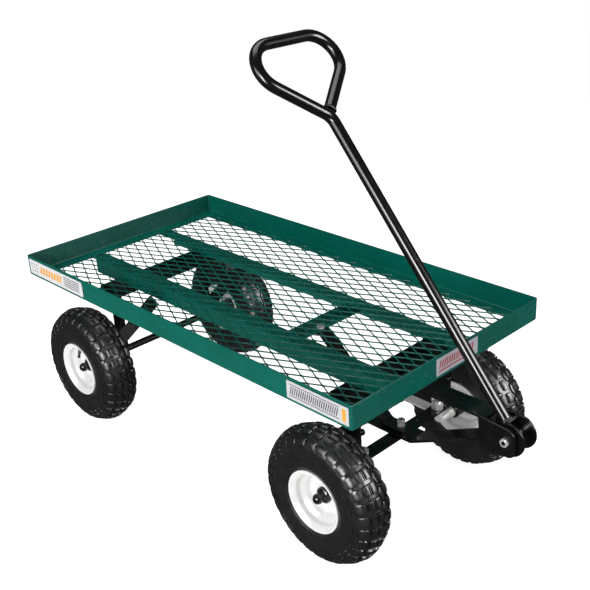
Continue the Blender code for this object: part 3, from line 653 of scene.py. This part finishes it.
# -------- handle and tongue head
TUBE_R = 0.01065
TUBE_START = 0.0280
NECK = 0.628
LOOP_TOP = 0.7775
LOOP_SPREAD = math.radians(47.8)
NECK_R = 0.030
LOOP_R = 0.047
CLOSING = (NECK + 0.0055, 0.0048)  # where the loop comes back onto its shaft
FIRST_BEND = NECK - 0.008  # where the shaft turns into the loop
LEAN = math.radians(50.2)  # handle above horizontal
CHEEK_R = 0.0310
CHEEK_T = 0.0040
WEB_T = 0.0050
WEB_HALF = 0.0135
CLEVIS_EDGE = 0.0007

pivot = AXIS_AT["handle_tilt"]
ALONG = Vector((-math.cos(LEAN), 0, math.sin(LEAN)))
UPWARD = Vector((math.sin(LEAN), 0, math.cos(LEAN)))
UP_HANDLE = Matrix.Translation(pivot) @ Matrix(((UPWARD.x, ALONG.x, 0, 0), (0, 0, 1, 0),
                                                (UPWARD.z, ALONG.z, 0, 0), (0, 0, 0, 1)))


def softened(points, radii, steps):
    """Open path in a plane, with one radius for each inner corner."""
    path = [points[0]]
    for before, corner, after, radius in zip(points, points[1:], points[2:], radii):
        path += rounded([(*before, 0), (*corner, radius), (*after, 0)], steps)[1:-1]
    return [Vector(p) for p in [*path, points[-1]]]


def handle_look():
    """Bent round tube with a closed triangular grip loop, welded back to its own shaft."""
    corner = (LOOP_TOP - NECK) * math.tan(LOOP_SPREAD)
    route = [(TUBE_START, 0.0), (FIRST_BEND, 0.0), (LOOP_TOP, -corner), (LOOP_TOP, corner), CLOSING]
    bm = bmesh.new()
    path = softened(route, (NECK_R, LOOP_R, LOOP_R), 14)
    tube(bm, [pivot + ALONG * p.x + Vector((0, p.y, 0)) for p in path], TUBE_R, 32)
    piece("handle_tube", bm, BLACK, ease=EDGE)


handle_look()


def clevis_look():
    """Round cheeks on the pivot bolt, joined by a web under the tube."""
    reach = TUBE_START - 0.0003
    start = math.acos(reach / CHEEK_R) + math.radians(6)
    outline = [(WEB_HALF, reach), (-WEB_HALF, reach)]
    for i in range(61):
        a = math.pi / 2 + start + (2 * math.pi - 2 * start) * i / 60
        outline.append((CHEEK_R * math.cos(a), CHEEK_R * math.sin(a)))
    low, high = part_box("clevis")
    bm = bmesh.new()
    for end in (-1, 1):
        span = sorted((end * high.y, end * (high.y - CHEEK_T)))
        extrude(bm, outline, *span, UP_HANDLE)
    top = reach - 0.0002
    web = [(-WEB_HALF, reach - WEB_T), (WEB_HALF, reach - WEB_T), (WEB_HALF, top), (-WEB_HALF, top)]
    extrude(bm, web, low.y + 0.0002, high.y - 0.0002, UP_HANDLE)
    piece("clevis", bm, BLACK, ease=CLEVIS_EDGE)


clevis_look()


def tongue_plates():
    """Cheek plates that close the tongue around the pivot bolt."""
    corners = [(-0.0565, 0.0290, 0.0010), (0.0170, 0.0230, 0.0160), (0.0200, -0.0290, 0.0160),
               (-0.0520, -0.0300, 0.0010)]
    upright = Matrix.Translation((pivot.x, 0, pivot.z)) @ ALONG_Y
    for word, _ in SIDES:
        node = "tongue_plate_" + word
        low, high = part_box(node)
        bm = bmesh.new()
        extrude(bm, rounded(corners, 12), low.y, high.y, upright)
        piece(node, bm, BLACK, ease=EDGE)


tongue_plates()

# -------- weld beads
RIPPLE = 0.0013
CORNER_SEAM_H = 0.038  # upright seams inside the deck frame's corners
END_SEAM = 0.0260  # seams at the ends of the long members
TACK_INSET = 0.0015
STAY_SEAM = (0.032, 0.060)  # from and to, above the rear leg's foot


def bead(bm, start, stop, radius=WELD_R):
    """Weld bead between two points: overlapping ripples, swelling at one end."""
    start, stop = Vector(start), Vector(stop)
    count = max(int((stop - start).length / RIPPLE * 3), 6)
    path = [start.lerp(stop, i / count) for i in range(count + 1)]

    def size(share):
        swell = min(share, 1 - share) * count / 3
        taper = min(1.0, 0.45 + 0.4 * swell)
        return radius * taper * (1 + 0.13 * math.sin(2 * math.pi * share * count / 3))

    tube(bm, path, size, 10)


def ring_bead(bm, centre, normal, radius, thickness=0.0025):
    """Weld bead around a tube."""
    u = normal.orthogonal().normalized()
    v = normal.cross(u)
    rings = []
    for a in around(90):
        out = u * math.cos(a) + v * math.sin(a)
        size = thickness * (1 + 0.16 * math.sin(a * 30))
        rings.append([centre + out * (radius + size * math.cos(b)) + normal * size * math.sin(b)
                      for b in around(8)])
    loft(bm, rings, closed=True)


def tack(bm, rng, x, y):
    """Small flattened blob that holds the mesh on a rail."""
    place = Matrix.Translation((x, y, mesh_level + rng.uniform(-0.0004, 0.0002)))
    bmesh.ops.create_icosphere(bm, subdivisions=2, radius=rng.uniform(0.0012, 0.0016),
                               matrix=place @ Matrix.Diagonal((1.2, 1.0, 0.7, 1.0)))


def deck_welds():
    """Corner seams of the rails, tacks that hold the mesh, and fillets at the members."""
    bm = bmesh.new()
    for sx in (-1, 1):
        for sy in (-1, 1):
            inner = Vector((deck_mid.x + sx * (half_long - STEEL), sy * (half_wide - STEEL), flange_top))
            bead(bm, inner + Vector((0, 0, 0.001)), inner + Vector((0, 0, CORNER_SEAM_H)), 0.0016)
            far = inner - Vector((sx * (FLANGE - STEEL), sy * (FLANGE - STEEL), STEEL))
            bead(bm, inner - Vector((0, 0, STEEL)), far, 0.0012)
    rng = random.Random(5)
    rows = [y for y in (row * MESH_PITCH_Y for row in range(-mesh_rows, mesh_rows + 1))
            if abs(y) <= mesh_reach_y]
    columns = int(mesh_reach_x / MESH_PITCH_X)
    for sx in (-1, 1):
        for y in rows:
            tack(bm, rng, deck_mid.x + sx * (mesh_reach_x - TACK_INSET), y)
    for sy in (-1, 1):
        for column in range(-columns, columns + 1):
            tack(bm, rng, deck_mid.x + column * MESH_PITCH_X, sy * (mesh_reach_y - TACK_INSET))
    cross_low, cross_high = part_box("cross_member")
    for word, side in SIDES:
        node = "long_member_" + word
        low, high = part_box(node)
        outer = sides_of(node, side)[0]
        top = high.z - 0.0002
        for x in (low.x + 0.0004, high.x - 0.0004):
            inward = END_SEAM if x < deck_mid.x else -END_SEAM
            bead(bm, (x + inward, outer, top), (x + inward * 0.2, outer, top))
        face = outer - side * (STEEL + 0.0004)
        bead(bm, (cross_low.x, face, cross_low.z + 0.001), (cross_low.x, face, cross_high.z - 0.001), 0.0020)
    rides(build("deck_welds", bm, GREEN, 60), "frame")


deck_welds()


def chassis_welds():
    """Fillets at the feet and heads of the legs, along the bolsters and at the stays."""
    bm = bmesh.new()
    for axle in ("front", "rear"):
        bolster_low, bolster_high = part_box(axle + "_bolster")
        top = bolster_high.z
        for word, side in SIDES:
            low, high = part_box(f"{axle}_leg_{word}")
            for x in (low.x, high.x):
                bead(bm, (x, low.y + 0.001, high.z), (x, high.y - 0.001, high.z))
            for z in (low.z, high.z) if axle == "front" else (high.z,):
                for y in (low.y, high.y):
                    bead(bm, (low.x + 0.002, y, z), (high.x - 0.002, y, z))
            outer = sides_of("long_member_" + word, side)[0]
            for x in (bolster_low.x, bolster_high.x):
                bead(bm, (x, outer, top - 0.0005), (x, outer - side * 0.004, top - 0.0005))
            bead(bm, (bolster_low.x + 0.004, outer, top), (bolster_high.x - 0.004, outer, top))
    for word, side in SIDES:
        inner = sides_of("rear_brace_" + word, side)[1]
        low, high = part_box("rear_leg_" + word)
        bead(bm, *((high.x, inner, low.z + up) for up in STAY_SEAM))
    rides(build("chassis_welds", bm, BLACK, 60), "frame")


chassis_welds()


def tongue_welds():
    """Seams where the two tongue bars meet the cheek plates."""
    bm = bmesh.new()
    bar_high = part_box("tongue_upper_bar")[1]
    for word, side in SIDES:
        inner = sides_of("tongue_plate_" + word, side)[1]
        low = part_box("tongue_plate_" + word)[0]
        top = bar_high.z - 0.001
        bead(bm, (low.x + 0.003, inner, top), (bar_high.x - 0.002, inner, top), 0.0020)
    rides(build("tongue_welds", bm, BLACK, 60), "tongue")
    bm = bmesh.new()
    ring_bead(bm, pivot + ALONG * (TUBE_START + 0.0005), ALONG, TUBE_R)
    neck = pivot + ALONG * CLOSING[0] + Vector((0, CLOSING[1], 0))
    heading = ALONG * math.cos(LOOP_SPREAD) + Vector((0, math.sin(LOOP_SPREAD), 0))
    ring_bead(bm, neck, heading, TUBE_R * 0.93, 0.0026)
    rides(build("handle_welds", bm, BLACK, 60), "handle")


tongue_welds()

# -------- wheels
TYRE_R = 0.1310
BEAD_R = 0.0515
RIM_R = 0.0600
RIM_HALF = 0.0360
RIM_SHEET = 0.0022
HUB_R = 0.0150
AXLE_R = 0.0080
BALL_R = 0.0098
BALL_H = 0.0220
PITCHES = 30  # tread blocks around each row
TREAD_DEPTH = 0.0042
SHOULDER = (0.027, 0.020)  # where the tread floor starts to rise, and over what distance
TYRE_HALF = [(TYRE_R + 0.0003, 0.0), (TYRE_R - 0.0006, 0.0060), (0.1275, 0.0155), (0.1160, 0.0332),
             (0.0900, 0.0385), (0.0640, 0.0345), (0.0520, 0.0232)]
SIDEWALL_RINGS = ((0.0640, 0.0006, 0.0012), (0.0745, 0.0005, 0.0010), (0.0860, 0.0009, 0.0018))
HUB_REACH = 0.0465
STEM_ROOT = (0.0400, 0.0158)  # valve stem's foot from the wheel's axis and middle
STEM_LEAN = (0.855, 0.519)  # its heading towards the axis and outboard
PHASE = {"front_right": -5.8, "rear_right": -3.0, "front_left": 2.5, "rear_left": 0.5}
VALVE_ANGLE = {"front_right": 28, "rear_right": 112, "front_left": 205, "rear_left": 300}


def catmull(points, steps):
    """Smooth curve through points."""
    padded = [points[0] * 2 - points[1], *points, points[-1] * 2 - points[-2]]
    out = []
    for a, b, c, d in zip(padded, padded[1:], padded[2:], padded[3:]):
        for k in range(steps):
            t = k / steps
            out.append(0.5 * (2 * b + (c - a) * t + (2 * a - 5 * b + 4 * c - d) * t * t
                              + (3 * b - a - 3 * c + d) * t ** 3))
    return out + [points[-1]]


def tyre_skin():
    """The tyre's outer curve from bead to bead, with the distance along it measured from the crown."""
    half = [Vector(p) for p in TYRE_HALF]
    whole = [Vector((p.x, -p.y)) for p in reversed(half[1:])] + half
    curve = catmull(whole, 16)
    lengths = [0.0]
    for a, b in zip(curve, curve[1:]):
        lengths.append(lengths[-1] + (b - a).length)
    crown = lengths[-1] / 2
    return curve, [length - crown for length in lengths]


SKIN, SKIN_AT = tyre_skin()
SKIN_END = SKIN_AT[-1]


def on_skin(s, lift=0.0):
    """Radius and height of the tyre's surface at a distance s from the crown, raised by lift."""
    s = max(min(s, SKIN_END - 1e-6), -SKIN_END + 1e-6)
    high = bisect.bisect_right(SKIN_AT, s)
    low = high - 1
    share = (s - SKIN_AT[low]) / (SKIN_AT[high] - SKIN_AT[low])
    point = SKIN[low].lerp(SKIN[high], share)
    tangent = (SKIN[min(high + 2, len(SKIN) - 1)] - SKIN[max(low - 2, 0)]).normalized()
    outward = Vector((tangent.y, -tangent.x))
    return point + outward * lift


def skin_point(angle, s, lift):
    """Point of the tyre's surface at an angle round the wheel."""
    p = on_skin(s, lift)
    return Vector((p.x * math.cos(angle), p.x * math.sin(angle), p.y))


def smooth_step(x):
    """Zero to one with level ends."""
    x = max(0.0, min(1.0, x))
    return x * x * (3 - 2 * x)


def carcass(bm):
    """Tyre body: sunk tread floor, sidewall with fine rings, bead, and a closed inner face."""
    samples = 110
    profile = []
    for i in range(samples + 1):
        s = -SKIN_END + 2 * SKIN_END * i / samples
        away = abs(s)
        depth = TREAD_DEPTH * (1 - smooth_step((away - SHOULDER[0]) / SHOULDER[1]))
        ridge = sum(height * math.exp(-((away - line) / width) ** 2)
                    for line, height, width in SIDEWALL_RINGS)
        p = on_skin(s, ridge - depth)
        profile.append((p.x, p.y))
    lathe(bm, profile, 150)


def lug(bm, outline, angle, height, foot):
    """Tread block: outline of (arc, s) about its angle, raised to height from a foot below the skin."""
    count = len(outline)
    mid_a, mid_s = (sum(p[i] for p in outline) / count for i in (0, 1))
    extent = max(max(abs(a - mid_a), abs(s - mid_s)) for a, s in outline)
    step = 0.0006 / extent
    radius = on_skin(mid_s).x
    levels = ((1 + 1.6 * step, -foot), (1.0, height - 0.0007), (1 - step * 0.6, height - 0.0002),
              (1 - 2 * step, height), (0.5, height + 0.0001))
    loops = loft(bm, [[skin_point(angle + (mid_a + (a - mid_a) * scale) / radius,
                                  mid_s + (s - mid_s) * scale, lift)
                       for a, s in outline] for scale, lift in levels], capped=False)
    tip = bm.verts.new(skin_point(angle + mid_a / radius, mid_s, height + 0.0001))
    for i in range(count):
        bm.faces.new((loops[-1][i], loops[-1][(i + 1) % count], tip))
    bm.faces.new(list(reversed(loops[0])))


def scalloped(half_arc, near, far, bumps, depth):
    """Outline of a shoulder pad: plain towards the crown, scalloped towards the sidewall."""
    outline = [(half_arc, near), (half_arc, far)]
    steps = bumps * 4
    for i in range(1, steps):
        wave = abs(math.sin(math.pi * bumps * i / steps))
        outline.append((half_arc - 2 * half_arc * i / steps, far - depth * wave))
    return outline + [(-half_arc, far), (-half_arc, near)]


def tread(bm):
    """Crown row with ribs and blocks outboard, a staggered row inboard, and two kinds of shoulder."""
    pitch = 2 * math.pi / PITCHES
    crown = rounded([(-0.0100, -0.0028, 0.0010), (0.0, -0.0046, 0.0060), (0.0100, -0.0028, 0.0010),
                     (0.0100, 0.0060, 0.0010), (-0.0100, 0.0060, 0.0010)], 2)
    rib = [(-0.0095, 0.0076), (0.0095, 0.0076), (0.0095, 0.0090), (-0.0095, 0.0090)]
    block = rounded([(-0.0092, 0.0108, 0.0009), (0.0092, 0.0108, 0.0009), (0.0092, 0.0205, 0.0014),
                     (-0.0092, 0.0205, 0.0014)], 2)
    arch = rounded([(-0.0098, 0.0440, 0.0012), (-0.0102, 0.0262, 0.0072), (0.0102, 0.0262, 0.0072),
                    (0.0098, 0.0440, 0.0012)])
    bars = [[(-0.0070, s), (0.0070, s), (0.0066, s + 0.0016), (-0.0066, s + 0.0016)]
            for s in (0.0468, 0.0550)]
    inner_row = rounded([(-0.0100, -0.0190, 0.0010), (0.0100, -0.0190, 0.0010), (0.0100, -0.0100, 0.0010),
                         (0.0, -0.0084, 0.0060), (-0.0100, -0.0100, 0.0010)], 2)
    pillow = rounded([(-0.0104, -0.0470, 0.0050), (0.0104, -0.0470, 0.0050), (0.0104, -0.0255, 0.0030),
                      (-0.0104, -0.0255, 0.0030)], 3)
    pad = scalloped(0.0072, -0.0290, -0.0425, 3, 0.0011)
    full = TREAD_DEPTH + 0.0004
    aligned = [(crown, 0.0, full), (rib, -0.0010, full), (block, 0.0, full),
               (arch, -0.0002, TREAD_DEPTH * 0.75)]
    aligned += [(bar, 0.0011, 0.0006) for bar in bars]
    staggered = [(inner_row, 0.0, full), (pillow, 0.0008, TREAD_DEPTH * 0.8), (pad, 0.0018, 0.0012)]
    for i in range(PITCHES):
        for outlines, shift in ((aligned, 0.0), (staggered, 0.5)):
            for outline, height, foot in outlines:
                lug(bm, outline, pitch * (i + shift), height, foot)


def tyre_mesh():
    """Tyre body with its tread, about Z."""
    bm = bmesh.new()
    carcass(bm)
    tread(bm)
    return finished("tyre", bm, RUBBER, 38)


def turned_mesh(name, profile, segments, material, closed):
    """Turned piece of a wheel, about Z."""
    bm = bmesh.new()
    lathe(bm, profile, segments, closed)
    return finished(name, bm, material, 45)


def rim_profile():
    """Pressed rim: rolled lips, bead seats, drop centre and a dished disc with a raised boss ring."""
    well = BEAD_R - 0.0085
    outer = [(RIM_R, RIM_HALF, 0.0011), (RIM_R, 0.0325, 0.0012), (BEAD_R, 0.0262, 0.0030),
             (BEAD_R, 0.0180, 0.0030), (well, 0.0110, 0.0030)]
    dish = [(well - RIM_SHEET, 0.0120, 0.0030), (BEAD_R - RIM_SHEET, 0.0190, 0.0030),
            (BEAD_R - RIM_SHEET, 0.0275, 0.0040), (RIM_R - RIM_SHEET, RIM_HALF, 0.0010)]
    disc_back = [(0.0380, -0.0015, 0.0030), (0.0290, -0.0035, 0.0020), (0.0240, 0.0015, 0.0020),
                 (HUB_R + 0.0004, 0.0015, 0.0004)]
    disc_front = [(HUB_R + 0.0004, 0.0060, 0.0004), (0.0240, 0.0060, 0.0020), (0.0290, 0.0010, 0.0020),
                  (0.0380, 0.0030, 0.0030)]
    inboard = [[(r, -h, q) for r, h, q in reversed(run)] for run in (outer, dish)]
    return rounded(outer + inboard[0] + inboard[1] + disc_back + disc_front + dish)


def hub_profile():
    """Hub tube that reaches inboard to the leg or knuckle."""
    return rounded([(HUB_R, 0.0100, 0.0006), (HUB_R, -HUB_REACH, 0.0010), (AXLE_R + 0.0003, -HUB_REACH, 0),
                    (AXLE_R + 0.0003, 0.0125, 0), (0.0125, 0.0125, 0.0008)], 3)


def cap_profile():
    """Ball-ended axle cap on a short collar."""
    profile = [(0.0004, BALL_H + BALL_R)]
    for step in range(1, 15):
        a = math.radians(90 - 9.3 * step)
        profile.append((BALL_R * math.cos(a), BALL_H + BALL_R * math.sin(a)))
    return profile + [(0.0082, 0.0150), (0.0100, 0.0146), (0.0102, 0.0130), (0.0004, 0.0130)]


def valve_profile():
    """Rubber stem with a ribbed dust cap."""
    profile = [(0.0004, 0.0200), (0.0026, 0.0199), (0.0031, 0.0194)]
    for i in range(6):
        profile += [(0.0032, 0.0188 - i * 0.0009), (0.0029, 0.0184 - i * 0.0009)]
    return profile + [(0.0032, 0.0130), (0.0022, 0.0128), (0.0022, 0.0118), (0.0030, 0.0110),
                      (0.0037, 0.0080), (0.0041, 0.0020), (0.0042, 0.0), (0.0004, 0.0)]


TYRE_MESH = tyre_mesh()
RIM_MESH = turned_mesh("rim", rim_profile(), 96, WHITE, True)
HUB_MESH = turned_mesh("hub", hub_profile(), 56, PLASTIC, True)
CAP_MESH = turned_mesh("cap", cap_profile(), 40, PLASTIC, False)
VALVE_MESH = turned_mesh("valve", valve_profile(), 24, VALVE_RUBBER, False)


def wheel(word, side):
    """Tyre, rim, hub, cap and valve on one axle end."""
    centre = AXIS_AT["spin_" + word]
    outward = (Matrix.Rotation(math.radians(-90 * side), 4, "X")
               @ Matrix.Rotation(math.radians(PHASE[word]), 4, "Z")).to_euler()
    for part, mesh in (("tyre", TYRE_MESH), ("rim", RIM_MESH), ("hub", HUB_MESH), ("cap", CAP_MESH)):
        shows(put(f"fine_{part}_{word}", mesh, centre, outward), f"{part}_{word}")
    angle = math.radians(VALVE_ANGLE[word])
    spoke = Vector((math.cos(angle), 0, math.sin(angle)))
    lean = Vector((0, side * STEM_LEAN[1], 0)) - spoke * STEM_LEAN[0]
    root = centre + spoke * STEM_ROOT[0] + Vector((0, side * STEM_ROOT[1], 0))
    stem = put("fine_valve_" + word, VALVE_MESH, root, lean.to_track_quat("Z", "Y").to_euler())
    shows(stem, "valve_" + word)


for end in ("front", "rear"):
    for word, side in SIDES:
        wheel(f"{end}_{word}", side)

# -------- labels
DOT = 0.0032
INK_T = 0.00006
SQUARE = ((0, 0), (1, 0), (1, 1), (0, 1))
FACING_RIGHT = Matrix(((1, 0, 0, 0), (0, 0, -1, 0), (0, 1, 0, 0), (0, 0, 0, 1)))


def slanted(u, v, width, height, lean=0.0):
    """Bar whose top is shifted by lean."""
    return [(u, v), (u + width, v), (u + width + lean, v + height), (u + lean, v + height)]


def label(node, plate, radius, prints, faces_front=False):
    """Plate with rounded corners on the outer face of the right or the front rail, and its ink."""
    low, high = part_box(node)
    width, depth, height = high - low
    place = Matrix.Translation((low.x, high.y, low.z)) @ FACING_RIGHT
    if faces_front:
        width, depth = depth, width
        place = Matrix.Translation(low) @ ALONG_X
    bm = bmesh.new()
    extrude(bm, rounded([(a * width, b * height, radius) for a, b in SQUARE], 6), 0, depth, place)
    piece(node, bm, plate)
    for ink, name, shapes in prints(width, height):
        bm = bmesh.new()
        for shape in shapes:
            extrude(bm, shape, depth, depth + INK_T, place)
        rides(build(name, bm, ink), "frame")


def rear_prints(width, height):
    """Amber band of slanted stripes between a grid of dots and a ladder of fine rules."""
    amber = [slanted(width * (0.20 + 0.052 * i), height * 0.26, width * 0.034, height * 0.50, 0.0050)
             for i in range(8)]
    dots = [rounded([(width * (0.045 + 0.045 * i) + a * DOT, height * (0.22 + 0.24 * j) + b * DOT, DOT * 0.4)
                     for a, b in SQUARE], 3) for i in range(3) for j in range(3)]
    rules = [slanted(width * 0.66, height * (0.22 + 0.14 * j), width * 0.28, height * 0.05)
             for j in range(5)]
    return ((INK_AMBER, "side_rear_stripes", amber), (INK_DARK, "side_rear_marks", dots + rules))


def front_side_prints(width, height):
    """Even slanted hatching between two rules, with an amber block at the front end."""
    strokes = [slanted(width * (0.05 + 0.034 * i), height * 0.28, width * 0.015, height * 0.46, 0.0040)
               for i in range(23)]
    rules = [slanted(width * 0.05, height * v, width * 0.80, height * 0.04) for v in (0.17, 0.81)]
    block = [slanted(width * 0.90, height * 0.17, width * 0.055, height * 0.68)]
    return ((INK_DARK, "side_front_strokes", strokes + rules), (INK_AMBER, "side_front_block", block))


def front_prints(width, height):
    """Even red slanted bars over a red rule."""
    bars = [slanted(width * (0.06 + 0.056 * i), height * 0.38, width * 0.030, height * 0.42, 0.0030)
            for i in range(15)]
    rule = [slanted(width * 0.06, height * 0.18, width * 0.84, height * 0.09)]
    return ((INK_RED, "front_bars", bars + rule),)


label("label_side_rear", INK_WHITE, 0.0040, rear_prints)
label("label_side_front", INK_SILVER, 0.0016, front_side_prints)
label("label_front", INK_LILAC, 0.0016, front_prints, faces_front=True)

# -------- stage, light and camera
ROOM = 0.06  # strength of the room that the paint reflects
FLOOR_GLOW = 0.86


def floor_paper():
    """Backlit white paper."""
    material, _, shader = principled("floor_paper", 0.8, specular=0.1)
    settle(shader, {"Base Color": (0.85, 0.85, 0.85, 1.0), "Emission Color": (1.0, 1.0, 1.0, 1.0),
                    "Emission Strength": FLOOR_GLOW})
    return material


def surroundings():
    """White behind the cart, and a dimmer room around it that the paint reflects."""
    world = bpy.data.worlds.new("studio")
    world.use_nodes = True
    tree = world.node_tree
    room = tree.nodes["Background"]
    settle(room, {"Color": (1.0, 1.0, 1.0, 1.0)})
    seen = tree.nodes.new("ShaderNodeLightPath")
    strength = spread(tree, seen.outputs["Is Camera Ray"], ROOM, 1.0, 0.0, 1.0)
    tree.links.new(strength, room.inputs["Strength"])
    bpy.context.scene.world = world


def studio():
    """Pale floor, pale surroundings and soft panels."""
    bm = bmesh.new()
    bmesh.ops.create_circle(bm, cap_ends=True, segments=96, radius=3.0)
    floor = put("floor", finished("floor", bm, floor_paper(), 30), (0, 0, -0.0004))
    floor.visible_glossy = False
    surroundings()
    # name, place, size, watts, aim, whether it lights matt surfaces too
    panels = (("key", (0.3, -3.0, 1.6), (2.6, 1.5), 85, (0.0, 0.0, 0.25), True),
              ("front", (2.5, 1.2, 1.1), (2.8, 1.5), 16, (0.2, 0.0, 0.2), True),
              ("top", (-0.6, 0.4, 3.2), (2.4, 1.6), 40, (0.0, 0.0, 0.3), True),
              ("handle_shine", (1.2, -2.7, 1.1), (0.9, 1.5), 95, (0.35, 0.0, 0.55), False),
              ("tread_shine", (2.7, 0.6, 1.5), (1.6, 1.4), 120, (0.2, -0.1, 0.13), False))
    for name, spot, size, power, aim, lights_matt in panels:
        light = bpy.data.lights.new(name, "AREA")
        light.shape = "RECTANGLE"
        light.size, light.size_y = size
        light.energy = power
        turn = (Vector(aim) - Vector(spot)).to_track_quat("-Z", "Y").to_euler()
        put(name, light, spot, turn).visible_diffuse = lights_matt


def camera():
    """Seen from the front right corner, a little above the grip."""
    turn, rise, roll = (math.radians(angle) for angle in (45.17, 24.49, -2.49))
    data = bpy.data.cameras.new("camera")
    data.lens = 58.49
    data.shift_x = -0.0624
    data.shift_y = -0.0081
    data.clip_end = 100.0
    obj = put("camera", data)
    obj.matrix_world = (Matrix.Translation((1.28098, -1.15087, 1.1435)) @ Matrix.Rotation(turn, 4, "Z")
                        @ Matrix.Rotation(math.pi / 2 - rise, 4, "X") @ Matrix.Rotation(roll, 4, "Z"))
    bpy.context.scene.camera = obj


studio()
camera()
bpy.context.scene.view_settings.view_transform = "Standard"
